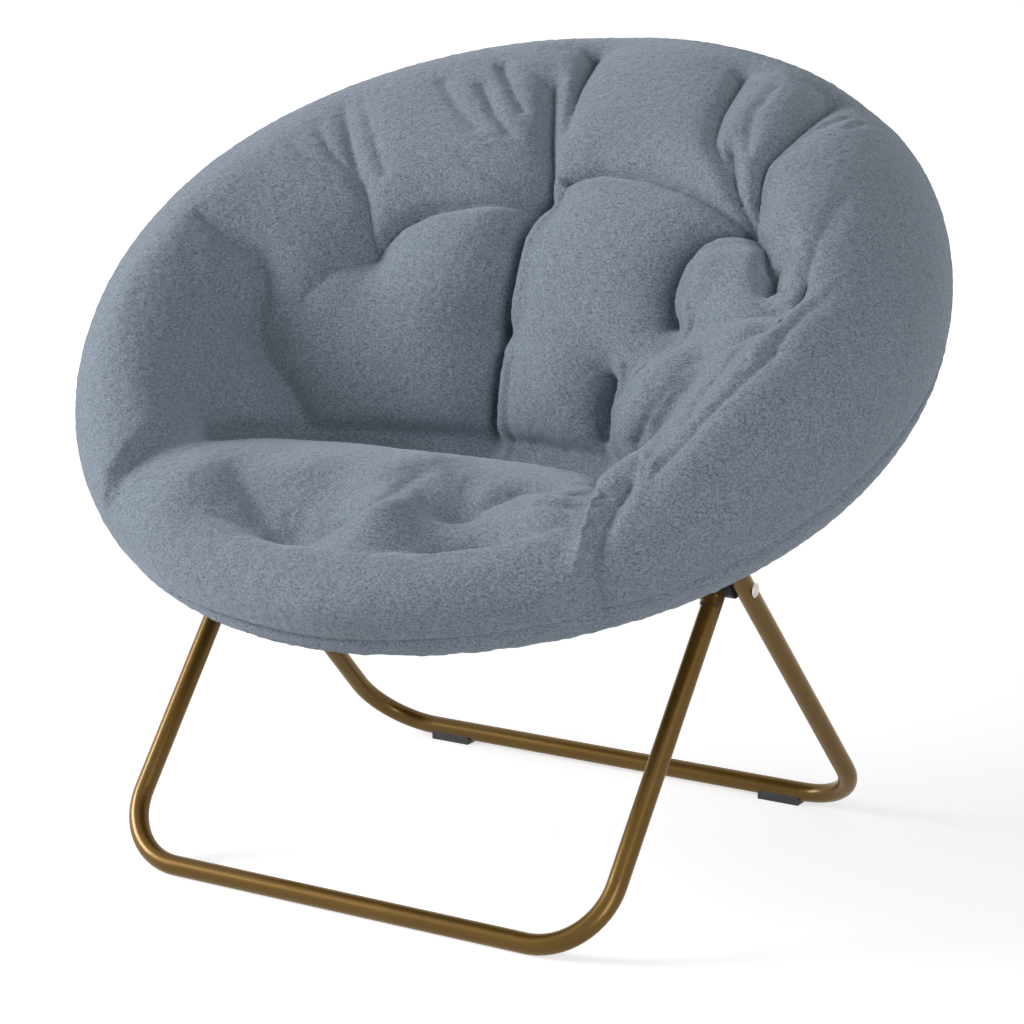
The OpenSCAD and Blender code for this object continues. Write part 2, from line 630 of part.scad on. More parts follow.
// Ring angle of a back or side section to the crease parameter, and the sections between two angles
function crease_of(a) = 90 * (1 - (a - notch_angle) / (180 - notch_angle));
function puff_at(a) = back_puff + (side_puff - back_puff) * sin(a) ^ 2;
module back_sections(from, to, count) {
    angles = [for (k = [0:count - 1]) from + (to - from) * k / (count - 1)];
    section_solid(
        [for (a = angles) upper_line(crease_of(a), a, crown_h(a), puff_at(a), pad_gap)],
        [for (a = angles) lower_line(crease_of(a), a, pad_gap)]
    );
}

gap_angle = pad_gap / ring_r * 180 / PI;
module back_pad() in_seat() color(fleece) back_sections(roll_end_angle, 360 - roll_end_angle, 32);
module side_roll(side)
    in_seat() mirror([side < 0 ? 1 : 0, 0, 0]) color(fleece)
        back_sections(notch_angle + 3 * gap_angle, roll_end_angle - 2 * gap_angle, 19);

// The seat pad runs forward from the crease to the front lip
module seat_pad() {
    steps = [for (k = [0:26]) -1 + 2 * k / 26];
    in_seat() color(fleece) section_solid(
        [for (s = steps) upper_line(90 * s, notch_angle * s, crown_front, seat_puff, -pad_gap)],
        [for (s = steps) lower_line(90 * s, notch_angle * s, -pad_gap)]
    );
}

front_leg();
rear_leg();
ring_rear_arc();
ring_front_arc();
front_leg_plugs();
rear_leg_plugs();
rear_foot(-1);  // rear_foot_left
rear_foot(1);  // rear_foot_right
cross_rivet(-1);  // cross_rivet_left
cross_rivet(1);  // cross_rivet_right
cross_spacer(-1);  // cross_spacer_left
cross_spacer(1);  // cross_spacer_right
cross_bracket(-1);  // cross_bracket_left
cross_bracket(1);  // cross_bracket_right
bracket_liner(-1);  // bracket_liner_left
bracket_liner(1);  // bracket_liner_right
bracket_rivets(-1);  // bracket_rivets_left
bracket_rivets(1);  // bracket_rivets_right
hinge_fork(-1);  // hinge_fork_left
hinge_fork(1);  // hinge_fork_right
hinge_tongue(-1);  // hinge_tongue_left
hinge_tongue(1);  // hinge_tongue_right
hinge_rivet(-1);  // hinge_rivet_left
hinge_rivet(1);  // hinge_rivet_right
back_lug(-1);  // back_lug_left
back_lug(1);  // back_lug_right
back_rivet(-1);  // back_rivet_left
back_rivet(1);  // back_rivet_right
seat_lug(-1);  // seat_lug_left
seat_lug(1);  // seat_lug_right
seat_rivets(-1);  // seat_rivets_left
seat_rivets(1);  // seat_rivets_right
rear_sleeve();
front_sleeve();
seat_pad();
back_pad();
side_roll(-1);  // side_roll_left
side_roll(1);  // side_roll_right
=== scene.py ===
"""Looks of a folding saucer chair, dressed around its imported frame.

All sizes are in metres unless a name or a docstring says mm.
"""

import logging
import math
from dataclasses import dataclass, field
from enum import Enum
from typing import NamedTuple, Sequence

import bmesh
import bpy
import numpy as np
from mathutils import Matrix, Vector
from mathutils.bvhtree import BVHTree
from mathutils.kdtree import KDTree


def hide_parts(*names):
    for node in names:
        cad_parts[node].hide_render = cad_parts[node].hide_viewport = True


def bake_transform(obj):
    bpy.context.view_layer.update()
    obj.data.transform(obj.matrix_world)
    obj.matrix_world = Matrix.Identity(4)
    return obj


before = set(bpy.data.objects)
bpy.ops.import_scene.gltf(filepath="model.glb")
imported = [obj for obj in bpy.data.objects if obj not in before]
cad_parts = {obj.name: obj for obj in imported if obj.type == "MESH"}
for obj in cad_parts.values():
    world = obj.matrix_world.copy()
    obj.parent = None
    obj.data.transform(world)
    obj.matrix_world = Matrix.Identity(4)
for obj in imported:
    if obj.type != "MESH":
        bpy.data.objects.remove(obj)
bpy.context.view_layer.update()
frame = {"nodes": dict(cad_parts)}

log = logging.getLogger("saucer_chair")
MM = 0.001
PHOTO_SIDE = 1024
Array = np.ndarray
Socket = bpy.types.NodeSocket
Three = tuple[float, float, float]


def linked(name: str, data: bpy.types.ID) -> bpy.types.Object:
    """Adds an object to the scene.

    Args:
        name: Its name.
        data: Its mesh, lamp or camera data.

    Returns:
        The object, at the origin.
    """
    piece = bpy.data.objects.new(name, data)
    bpy.context.scene.collection.objects.link(piece)
    return piece


# ---------------------------------------------------------------- view


@dataclass(frozen=True)
class PhotoView:
    """The photograph's camera, as it was solved from the two U legs."""

    azimuth: float = math.radians(31.342)
    elevation: float = math.radians(12.921)
    distance: float = 3.45105
    target: Three = (-0.08324, 0.148773, 0.32803)
    focal_px: float = 2943.79
    sensor_mm: float = 36.0
    far_clip: float = 50.0

    @property
    def back(self) -> Vector:
        """Unit vector from the target to the camera."""
        flat = math.cos(self.elevation)
        return Vector((
            math.sin(self.azimuth) * flat,
            -math.cos(self.azimuth) * flat,
            math.sin(self.elevation),
        ))

    @property
    def right(self) -> Vector:
        """Unit vector to the right of the picture."""
        return Vector((math.cos(self.azimuth), math.sin(self.azimuth), 0.0))

    @property
    def up(self) -> Vector:
        """Unit vector up the picture."""
        return self.back.cross(self.right)

    @property
    def place(self) -> Vector:
        """The camera's place."""
        return Vector(self.target) + self.distance * self.back

    def ray(self, px: float, py: float) -> tuple[Vector, Vector]:
        """The line of sight through a pixel.

        Args:
            px: Pixels from the left edge.
            py: Pixels from the top edge.

        Returns:
            The camera's place and the unit direction away from it.
        """
        half = PHOTO_SIDE / 2
        aside, down = (float(px) - half) / self.focal_px, (float(py) - half) / self.focal_px
        way = aside * self.right - down * self.up - self.back
        return self.place, way.normalized()

    def add_camera(self) -> None:
        """Adds the camera and makes it the scene's."""
        data = bpy.data.cameras.new("photo_camera")
        data.sensor_width = self.sensor_mm
        data.lens = self.focal_px / PHOTO_SIDE * self.sensor_mm
        data.clip_end = self.far_clip
        camera = linked("photo_camera", data)
        axes = Matrix((self.right, self.up, self.back)).transposed()
        camera.matrix_world = Matrix.Translation(self.place) @ axes.to_4x4()
        bpy.context.scene.camera = camera


@dataclass(frozen=True)
class Softbox:
    """One area lamp, aimed at the middle of the chair."""

    name: str
    place: Three
    size: tuple[float, float]
    watts: float


# ---------------------------------------------------------------- node helpers


class Graph:
    """A material's or group's node tree, with short ways to add and join nodes."""

    def __init__(self, tree: bpy.types.NodeTree) -> None:
        """Keeps the tree."""
        self.tree = tree

    def add(self, kind: str, settings: dict | None = None, **values: object) -> bpy.types.Node:
        """Adds a node.

        Args:
            kind: The node's type, without its ShaderNode prefix.
            settings: Properties of the node itself.
            **values: Inputs by name, as fill takes them.

        Returns:
            The new node.
        """
        node = self.tree.nodes.new("ShaderNode" + kind)
        for name, value in (settings or {}).items():
            setattr(node, name, value)
        self.fill(node, **values)
        return node

    def fill(self, node: bpy.types.Node, **values: object) -> None:
        """Joins or sets inputs of a node.

        Args:
            node: The node.
            **values: Inputs by name, with _ for a space.
        """
        for name, value in values.items():
            self.put(node.inputs[name.replace("_", " ")], value)

    def put(self, socket: Socket, value: object) -> None:
        """Joins or sets one input.

        Args:
            socket: The input.
            value: A socket to join it to, or its plain value.
        """
        if isinstance(value, Socket):
            self.tree.links.new(value, socket)
        else:
            socket.default_value = value

    def row(self, node: bpy.types.Node, *values: object) -> bpy.types.Node:
        """Joins or sets a node's inputs in their order.

        Args:
            node: The node.
            *values: One value or socket per input; None leaves its input alone.

        Returns:
            The node.
        """
        for place, value in enumerate(values):
            if value is not None:
                self.put(node.inputs[place], value)
        return node

    def math(self, operation: str, a: object, b: object = 0.0, clamp: bool = False) -> Socket:
        """Reckons with two values.

        Args:
            operation: The Math node's operation.
            a: First value or socket.
            b: Second value or socket.
            clamp: Whether the result stays within 0 to 1.

        Returns:
            The result.
        """
        node = self.add("Math", {"operation": operation, "use_clamp": clamp})
        return self.row(node, a, b).outputs[0]

    def ramp(self, value: object, low: float, high: float, to_low: float, to_high: float) -> Socket:
        """Maps one range to another, clamped.

        Args:
            value: What is mapped.
            low: Start of its range.
            high: End of its range.
            to_low: Result at the start.
            to_high: Result at the end.

        Returns:
            The mapped value.
        """
        return self.row(self.add("MapRange"), value, low, high, to_low, to_high).outputs[0]

    def mix(self, share: object, a: object, b: object) -> Socket:
        """Mixes two colours.

        Args:
            share: How much of the second, 0 to 1.
            a: First colour.
            b: Second colour.

        Returns:
            The mixed colour.
        """
        node = self.add("Mix", {"data_type": "RGBA"})
        return self.row(node, share, *[None] * 5, a, b).outputs[2]

    def noise(self, place: object, scale: object, detail: float, rough: float = 0.5) -> Socket:
        """A noise value at a place."""
        values = {"Vector": place, "Scale": scale, "Detail": detail, "Roughness": rough}
        return self.add("TexNoise", **values).outputs["Fac"]

    def place(self) -> Socket:
        """Object coordinates, which stay with the piece."""
        return self.add("TexCoord").outputs["Object"]

    def bump(self, shader: bpy.types.Node, height: Socket, strength: float, distance: float) -> None:
        """Raises the finish by a height that changes over it.

        Args:
            shader: The Principled shader.
            height: The height, 0 to 1.
            strength: How strongly it shows.
            distance: How far 1 stands out.
        """
        bump = self.add("Bump", Strength=strength, Distance=distance, Height=height)
        self.fill(shader, Normal=bump.outputs["Normal"])

    def group(self, tree: bpy.types.NodeTree, **values: object) -> bpy.types.NodeOutputs:
        """Places a node group.

        Args:
            tree: The group.
            **values: The group's inputs.

        Returns:
            The group node's outputs.
        """
        node = self.tree.nodes.new("ShaderNodeGroup")
        node.node_tree = tree
        self.fill(node, **values)
        return node.outputs


def rgba(colour: Sequence[float]) -> tuple[float, float, float, float]:
    """A colour with full alpha."""
    return (*colour, 1.0)


class GroupParts(NamedTuple):
    """A shader node group while it is being made."""

    tree: bpy.types.NodeTree
    graph: Graph
    given: bpy.types.NodeOutputs
    result: bpy.types.Node


def new_group(name: str, inputs: dict[str, float], outputs: Sequence[str]) -> GroupParts:
    """Starts a shader node group of float sockets.

    Args:
        name: The group's name.
        inputs: Inputs and their defaults.
        outputs: Output names.

    Returns:
        The tree, its graph, the input node's sockets and the output node.
    """
    tree = bpy.data.node_groups.new(name, "ShaderNodeTree")
    kind = "NodeSocketFloat"
    for label, value in inputs.items():
        tree.interface.new_socket(label, in_out="INPUT", socket_type=kind).default_value = value
    for label in outputs:
        tree.interface.new_socket(label, in_out="OUTPUT", socket_type=kind)
    start, end = tree.nodes.new("NodeGroupInput"), tree.nodes.new("NodeGroupOutput")
    return GroupParts(tree, Graph(tree), start.outputs, end)


class SharedEffects:
    """Node groups that several finishes use."""

    def __init__(self) -> None:
        """Builds each group once."""
        self.mottle = self._mottle()
        self.handling = self._handling()
        self.weave = self._weave()

    def _mottle(self) -> bpy.types.NodeTree:
        """Slow change of tone over a surface.

        Returns:
            A group that puts out a mask from 0 to 1.
        """
        tree, g, given, end = new_group("tone_mottle", {"Size": 0.05, "Contrast": 0.5}, ["Mask"])
        noise = g.noise(g.place(), g.math("DIVIDE", 1.0, given["Size"]), 4.0, 0.55)
        centred = g.math("MULTIPLY", g.math("SUBTRACT", noise, 0.5), given["Contrast"])
        g.fill(end, Mask=g.math("ADD", centred, 0.5, clamp=True))
        return tree

    def _handling(self) -> bpy.types.NodeTree:
        """Fine scuffs and wipe marks of a handled surface.

        Returns:
            A group that puts out a mask and a height.
        """
        inputs = {"Scale": 40.0, "Amount": 0.5}
        tree, g, given, end = new_group("handling_marks", inputs, ["Mask", "Height"])
        place = g.place()
        broad = g.noise(place, given["Scale"], 6.0, 0.6)
        fine = g.noise(place, g.math("MULTIPLY", given["Scale"], 9.0), 3.0, 0.7)
        marks = g.ramp(broad, 0.52, 0.72, 0.0, 1.0)
        g.fill(
            end,
            Mask=g.math("MULTIPLY", marks, given["Amount"]),
            Height=g.math("ADD", g.math("MULTIPLY", broad, 0.4), g.math("MULTIPLY", fine, 0.6)),
        )
        return tree

    def _weave(self) -> bpy.types.NodeTree:
        """Plain weave of a thin cloth.

        Returns:
            A group that puts out a height and a mask of the threads.
        """
        tree, g, given, end = new_group("plain_weave", {"Pitch": 0.0006}, ["Height", "Mask"])
        split = g.add("SeparateXYZ", Vector=g.place()).outputs
        turn = g.math("DIVIDE", 2 * math.pi, given["Pitch"])
        waves = [g.math("SINE", g.math("MULTIPLY", split[axis], turn)) for axis in range(3)]
        cross = g.math("MULTIPLY", waves[0], g.math("ADD", waves[1], waves[2]))
        height = g.ramp(cross, -2.0, 2.0, 0.0, 1.0)
        g.fill(end, Height=height, Mask=g.ramp(height, 0.3, 0.8, 0.0, 1.0))
        return tree


# ---------------------------------------------------------------- finishes


@dataclass(frozen=True)
class Finish:
    """What every finish has: its material's name."""

    name: str

    def build(self, effects: SharedEffects) -> bpy.types.Material:
        """Makes the material.

        Args:
            effects: The shared node groups.

        Returns:
            The material.
        """
        material = bpy.data.materials.new(self.name)
        material.use_nodes = True
        material.node_tree.nodes.clear()
        g = Graph(material.node_tree)
        shader = g.add("BsdfPrincipled")
        g.add("OutputMaterial", Surface=shader.outputs["BSDF"])
        self.dress(g, shader, effects)
        return material

    def dress(self, g: Graph, shader: bpy.types.Node, effects: SharedEffects) -> None:
        """Fills in the Principled shader.

        Args:
            g: The material's graph.
            shader: The shader.
            effects: The shared node groups.
        """
        raise NotImplementedError


@dataclass(frozen=True)
class GoldPaint(Finish):
    """Glossy antique gold paint: deep bronze with fine flake, a thin clear coat and orange peel."""

    deep: Three = (0.082, 0.042, 0.0062)
    light: Three = (0.132, 0.071, 0.012)
    flake: Three = (0.28, 0.165, 0.04)
    flake_share: float = 0.16
    flake_scale: float = 2600.0
    gleam: Three = (1.0, 0.76, 0.42)
    metallic: float = 0.45
    specular: float = 0.4
    coat: float = 0.2
    coat_roughness: float = 0.05
    roughness: tuple[float, float] = (0.34, 0.44)

    def dress(self, g: Graph, shader: bpy.types.Node, effects: SharedEffects) -> None:
        """Flake in bronze under a clear coat.

        Args:
            g: The material's graph.
            shader: The Principled shader.
            effects: The shared node groups.
        """
        tone = g.group(effects.mottle, Size=0.09, Contrast=0.9)["Mask"]
        marks = g.group(effects.handling, Scale=55.0, Amount=0.35)
        spark = g.ramp(g.noise(g.place(), self.flake_scale, 1.0), 0.55, 0.75, 0.0, self.flake_share)
        base = g.mix(tone, rgba(self.deep), rgba(self.light))
        g.fill(
            shader,
            Base_Color=g.mix(spark, base, rgba(self.flake)),
            Metallic=self.metallic,
            Roughness=g.ramp(marks["Mask"], 0.0, 0.4, *self.roughness),
            Specular_IOR_Level=self.specular,
            Specular_Tint=rgba(self.gleam),
            Coat_Weight=self.coat,
            Coat_Roughness=self.coat_roughness,
        )
        g.bump(shader, marks["Height"], 0.12, 0.4 * MM)


@dataclass(frozen=True)
class BrightSteel(Finish):
    """Plain rivet steel with turned marks."""

    bright: Three = (0.62, 0.6, 0.56)
    dull: Three = (0.4, 0.37, 0.32)
    roughness: tuple[float, float] = (0.22, 0.4)

    def dress(self, g: Graph, shader: bpy.types.Node, effects: SharedEffects) -> None:
        """Brushed steel, duller where it was handled.

        Args:
            g: The material's graph.
            shader: The Principled shader.
            effects: The shared node groups.
        """
        marks = g.group(effects.handling, Scale=180.0, Amount=0.8)
        g.fill(
            shader,
            Base_Color=g.mix(marks["Mask"], rgba(self.bright), rgba(self.dull)),
            Metallic=1.0,
            Roughness=g.ramp(marks["Height"], 0.3, 0.7, *self.roughness),
        )
        g.bump(shader, marks["Height"], 0.2, 0.2 * MM)


@dataclass(frozen=True)
class BlackPlastic(Finish):
    """Matt black moulded plastic with a fine spark-eroded grain."""

    black: Three = (0.022, 0.022, 0.024)
    scuffed: Three = (0.06, 0.06, 0.062)
    grain_scale: float = 1500.0
    roughness: tuple[float, float] = (0.42, 0.62)

    def dress(self, g: Graph, shader: bpy.types.Node, effects: SharedEffects) -> None:
        """Grained plastic, paler where it was scuffed.

        Args:
            g: The material's graph.
            shader: The Principled shader.
            effects: The shared node groups.
        """
        marks = g.group(effects.handling, Scale=90.0, Amount=0.6)
        grain = g.noise(g.place(), self.grain_scale, 2.0, 0.7)
        g.fill(
            shader,
            Base_Color=g.mix(marks["Mask"], rgba(self.black), rgba(self.scuffed)),
            Roughness=g.ramp(grain, 0.3, 0.7, *self.roughness),
        )
        g.bump(shader, grain, 0.35, 0.3 * MM)


@dataclass(frozen=True)
class LiningCloth(Finish):
    """Black woven lining cloth of the ring's sleeves."""

    # the darker colour is painted shade between the threads
    gap: Three = (0.03, 0.031, 0.035)
    thread: Three = (0.075, 0.077, 0.083)
    pitch: float = 1.4 * MM
    sheen: float = 0.25
    specular: float = 0.25

    def dress(self, g: Graph, shader: bpy.types.Node, effects: SharedEffects) -> None:
        """Plain weave, with painted shade between its threads.

        Args:
            g: The material's graph.
            shader: The Principled shader.
            effects: The shared node groups.
        """
        weave = g.group(effects.weave, Pitch=self.pitch)
        g.fill(
            shader,
            # the weave's mask puts painted shade between the threads
            Base_Color=g.mix(weave["Mask"], rgba(self.gap), rgba(self.thread)),
            Roughness=g.ramp(weave["Height"], 0.0, 1.0, 0.95, 0.8),
            Sheen_Weight=self.sheen,
            Specular_IOR_Level=self.specular,
        )
        g.bump(shader, weave["Height"], 0.5, 0.4 * MM)


@dataclass(frozen=True)
class Thread(Finish):
    """Grey polyester sewing thread."""

    dark: Three = (0.12, 0.14, 0.17)
    light: Three = (0.26, 0.29, 0.34)
    twist_scale: float = 2200.0
    roughness: tuple[float, float] = (0.6, 0.8)

    def dress(self, g: Graph, shader: bpy.types.Node, effects: SharedEffects) -> None:
        """Twisted thread.

        Args:
            g: The material's graph.
            shader: The Principled shader.
            effects: The shared node groups; not used.
        """
        twist = g.noise(g.place(), self.twist_scale, 2.0)
        g.fill(
            shader,
            Base_Color=g.mix(twist, rgba(self.dark), rgba(self.light)),
            Roughness=g.ramp(twist, 0.3, 0.7, *self.roughness),
        )
        g.bump(shader, twist, 0.5, 0.3 * MM)


@dataclass(frozen=True)
class Fleece(Finish):
    """Grey-blue sherpa fleece: short curly pile, with painted highlight on its tips and painted shade at its
    roots.
    """

    # the first colour is painted shade between the curls, the second the fleece's colour with painted
    # highlight
    painted_root_shade: Three = (0.085, 0.105, 0.133)
    tip_and_painted_highlight: Three = (0.255, 0.298, 0.352)
    worn: Three = (0.19, 0.225, 0.27)
    worn_share: float = 0.35
    curl: float = 2.8 * MM
    warp: float = 7.0 * MM
    warp_scale: float = 90.0
    roughness: float = 0.95
    specular: float = 0.15
    sheen: float = 0.45
    sheen_roughness: float = 0.5
    sheen_tint: Three = (0.75, 0.83, 0.95)

    def dress(self, g: Graph, shader: bpy.types.Node, effects: SharedEffects) -> None:
        """Curly pile by warped noise, with painted shade at its roots and painted highlight on its tips.

        Args:
            g: The material's graph.
            shader: The Principled shader.
            effects: The shared node groups.
        """
        pile = self._pile(g)
        tone = g.group(effects.mottle, Size=0.06, Contrast=0.35)["Mask"]
        # the pile's height mixes painted shade into its hollows and painted highlight onto its tips
        mixed = g.mix(g.ramp(pile, 0.39, 0.59, 0.0, 1.0), rgba(self.painted_root_shade), rgba(self.tip_and_painted_highlight))
        worn = g.math("MULTIPLY", tone, self.worn_share)
        g.fill(
            shader,
            Base_Color=g.mix(worn, mixed, rgba(self.worn)),
            Roughness=self.roughness,
            Specular_IOR_Level=self.specular,
            Sheen_Weight=self.sheen,
            Sheen_Roughness=self.sheen_roughness,
            Sheen_Tint=rgba(self.sheen_tint),
        )
        g.bump(shader, pile, 0.85, 1.7 * MM)

    def _pile(self, g: Graph) -> Socket:
        """The pile's height.

        Args:
            g: The material's graph.

        Returns:
            Curls and finer curls on warped coordinates, 0 to 1.
        """
        place = g.place()
        warp = g.add("TexNoise", Vector=place, Scale=self.warp_scale, Detail=2.0).outputs["Color"]
        centred = g.row(g.add("VectorMath", {"operation": "SUBTRACT"}), warp, (0.5, 0.5, 0.5))
        pushed = g.add("VectorMath", {"operation": "MULTIPLY_ADD"})
        pushed = g.row(pushed, centred.outputs[0], (self.warp,) * 3, place).outputs[0]
        stretched = g.add("Mapping", Vector=pushed, Scale=(1.0, 1.0, 1.5)).outputs[0]
        curls = g.noise(stretched, 1 / self.curl, 3.0, 0.6)
        fine = g.noise(pushed, 2.6 / self.curl, 2.0, 0.6)
        return g.math("ADD", g.math("MULTIPLY", curls, 0.68), g.math("MULTIPLY", fine, 0.32))


class FinishName(Enum):
    """The finishes of this chair."""

    TUBE = "gold_tube"
    SHEET = "gold_sheet"
    RIVET = "rivet_steel"
    PLASTIC = "black_plastic"
    LINING = "sleeve_cloth"
    FLEECE = "fleece"
    THREAD = "seam_thread"


class Wardrobe:
    """Builds each finish once and hands it out."""

    def __init__(self) -> None:
        """Builds all the materials."""
        effects = SharedEffects()
        sheet_deep, sheet_light = (0.076, 0.039, 0.006), (0.124, 0.066, 0.011)
        finishes = {
            FinishName.TUBE: GoldPaint("gold_tube_paint"),
            FinishName.SHEET: GoldPaint("gold_sheet_paint", sheet_deep, sheet_light),
            FinishName.RIVET: BrightSteel("rivet_steel_bright"),
            FinishName.PLASTIC: BlackPlastic("black_plastic_grain"),
            FinishName.LINING: LiningCloth("lining_weave"),
            FinishName.FLEECE: Fleece("fleece_pile"),
            FinishName.THREAD: Thread("seam_thread_twist"),
        }
        self.materials = {name: finish.build(effects) for name, finish in finishes.items()}

    def wear(self, piece: bpy.types.Object, name: FinishName) -> None:
        """Gives a piece one finish in place of all it had."""
        piece.data.materials.clear()
        piece.data.materials.append(self.materials[name])


# ---------------------------------------------------------------- seat frame


@dataclass(frozen=True)
class SeatPlane:
    """The ring's plane: x to the right, u up the slope to the back, w square to the plane."""

    tilt: float = math.radians(28.7)
    middle_y: float = (32 - 40.307) * MM
    middle_z: float = 571.5 * MM

    @property
    def up(self) -> Array:
        """Unit vector square to the plane, in the part's axes."""
        return np.array([0.0, -math.sin(self.tilt), math.cos(self.tilt)])

    def to_part(self, xuw: Array) -> Array:
        """Places seat points in the part.

        Args:
            xuw: Seat points in mm.

        Returns:
            Part points in metres.
        """
        x, u, w = (xuw[..., k] * MM for k in range(3))
        c, s = math.cos(self.tilt), math.sin(self.tilt)
        return np.stack([x, self.middle_y + u * c - w * s, self.middle_z + u * s + w * c], -1)

    def to_seat(self, part: Array) -> Array:
        """Measures part points in the seat's axes.

        Args:
            part: Part points in metres.

        Returns:
            Seat points in mm.
        """
        c, s = math.cos(self.tilt), math.sin(self.tilt)
        y, z = part[..., 1] - self.middle_y, part[..., 2] - self.middle_z
        return np.stack([part[..., 0], y * c + z * s, z * c - y * s], -1) / MM


@dataclass(frozen=True)
class CushionShape:
    """The cushion's section rules, in mm, in the seat plane's axes.

    Three sizes in a row are those in front, at the sides and at the back; puff has the seat's,
    the back's and the sides' rise from the crease. The sack says from which share of the way
    out the underside leaves its belly for the ring's shelf, and over how much of it. The hem
    says how far the skirt bulges and how low it turns, as shares.
    """

    ring_r: float = 430.0
    rim_out: float = 56.5
    rim_oval: float = 4.5
    rim_shift: float = 7.5
    rim_h: float = 4.0
    crown: Three = (40.0, 132.0, 148.0)
    crown_in: Three = (25.0, 48.0, 140.0)
    drop: Three = (64.0, 94.0, 52.0)
    puff: Three = (2.3, 3.0, 1.4)
    crease_half_w: float = 257.0
    crease_corner: float = 226.0
    crease_middle: float = 88.0
    crease_corner_h: float = 21.0
    crease_dip: float = 94.0
    crease_power: float = 0.9
    crease_pad: float = 46.0
    notch_angle: float = 37.0
    notch_lap: float = 0.004
    skirt_r: float = 444.9
    seam_h: Three = (-34.0, -52.0, -34.0)
    edge_share: float = 0.12
    tube_half_w: float = 7.0
    rest_h: float = 13.4
    shelf_h: float = 18.0
    shelf_in: float = 21.4
    slope_end: float = 0.75
    slope_power: float = 1.3
    sack: tuple[float, float] = (0.92, 0.08)
    hem: tuple[float, float] = (0.4, 0.9)
    overlap: float = 2.0
    seat_belly: float = -24.0
    face_steps: int = 40
    crown_steps: int = 20
    skirt_steps: int = 16
    under_steps: int = 26

    @staticmethod
    def around(a: float | Array, sizes: Three) -> float | Array:
        """A size that changes smoothly round the ring.

        Args:
            a: Ring angle, 0 in front.
            sizes: The size in front, at the sides and at the back.

        Returns:
            The size at that angle.
        """
        cos = np.cos if isinstance(a, np.ndarray) else math.cos
        front, side, back = sizes
        mean, swing = (front + back) / 4, (front - back) / 2
        return mean + side / 2 + swing * cos(a) + (mean - side / 2) * cos(2 * a)

    def rim_r(self, a: float) -> float:
        """Radius of the widest line at ring angle a."""
        return self.ring_r + self.rim_out - self.rim_shift * math.cos(a) - self.rim_oval * math.cos(2 * a)

    def crease(self, b: float) -> Array:
        """A point of the long crease.

        Args:
            b: Its parameter, -pi/2 at the left corner to pi/2 at the right one.

        Returns:
            The point (x, u, w).
        """
        u = -self.crease_corner + (self.crease_corner - self.crease_middle) * math.cos(b)
        w = -self.crease_corner_h - self.crease_dip * math.cos(b) ** self.crease_power
        return np.array([self.crease_half_w * math.sin(b), u, w])

    @staticmethod
    def reach(p: Array, q: Array, r: float) -> Array:
        """Where a line meets a circle round the ring's middle.

        Args:
            p: Start of the line, inside the circle.
            q: Another point of the line.
            r: The circle's radius.

        Returns:
            The point on the line at that radius.
        """
        d = q - p
        k, m = float(p @ d), float(d @ d)
        return p + d * (-k + math.sqrt(max(k * k + m * (r * r - float(p @ p)), 0.0))) / m

    def section(self, b: float, a: float, crown_h: float, puff: float, gap: float, belly: float) -> Array:
        """One closed section, upper line out and lower line back.

        Args:
            b: Crease parameter of its inner end.
            a: Ring angle of its outer end.
            crown_h: Height of its crown.
            puff: How fast it rises from the crease.
            gap: Distance of its inner end from the crease, along the seat.
            belly: Height above which its underside doesn't rise inside the ring.

        Returns:
            Points (x, u, w).
        """
        inner = self.crease(b)
        i, low_w = inner[:2] + (0.0, gap), inner[2] - self.crease_pad
        o = self.rim_r(a) * np.array([math.sin(a), -math.cos(a)])
        edge = self.skirt_r + (self.rim_r(a) - self.skirt_r) * self.edge_share
        c = self.reach(i, o, self.ring_r - self.around(a, self.crown_in))
        e = self.reach(i, o, edge)
        drop = self.around(a, self.drop)
        points = []
        for s in np.linspace(0, 1, self.face_steps):
            q = i + (c - i) * s
            points.append((*q, inner[2] + (crown_h - inner[2]) * (1 - (1 - s) ** puff)))
        for t in np.linspace(0, math.pi / 2, self.crown_steps)[1:]:
            q = c + (o - c) * math.sin(t)
            points.append((*q, self.rim_h + (crown_h - self.rim_h) * math.cos(t)))
        for t in np.linspace(0, math.pi / 2, self.skirt_steps)[1:]:
            q = e + (o - e) * math.cos(t)
            points.append((*q, self.rim_h - (drop + self.rim_h) * math.sin(t)))
        return np.array(points + self._underside(i, o, low_w, belly, drop, edge)[::-1])

    def _underside(self, i: Array, o: Array, low_w: float, belly: float, drop: float, edge: float) -> list:
        """The lower line of a section, from its inner end out.

        Args:
            i: Inner end, seen along w.
            o: Outer end, seen along w.
            low_w: Height of the underside at the inner end.
            belly: Height above which it doesn't rise inside the ring.
            drop: How far the skirt hangs below the ring.
            edge: Radius of the skirt's lower edge.

        Returns:
            Points (x, u, w).
        """
        shelf_end = self.reach(i, o, self.ring_r - self.shelf_in)
        sack_start, sack_span = self.sack
        hem_share, hem_low = self.hem
        points = []
        for s in np.linspace(0, 1, self.under_steps):
            q = i + (shelf_end - i) * s
            slope = low_w + (self.shelf_h - low_w) * min(1.0, s / self.slope_end) ** self.slope_power
            sack = belly + (self.shelf_h - belly) * max(0.0, (s - sack_start) / sack_span)
            points.append((*q, min(slope, sack)))
        over_tube_and_skirt = (
            (self.ring_r - self.tube_half_w, self.rest_h),
            (self.ring_r + self.tube_half_w, self.rest_h),
            (self.skirt_r, self.rest_h / 2),
            (self.skirt_r, -drop * hem_share),
            (self.skirt_r + (edge - self.skirt_r) * hem_share, -drop * hem_low),
        )
        return points + [(*self.reach(i, o, r), w) for r, w in over_tube_and_skirt]

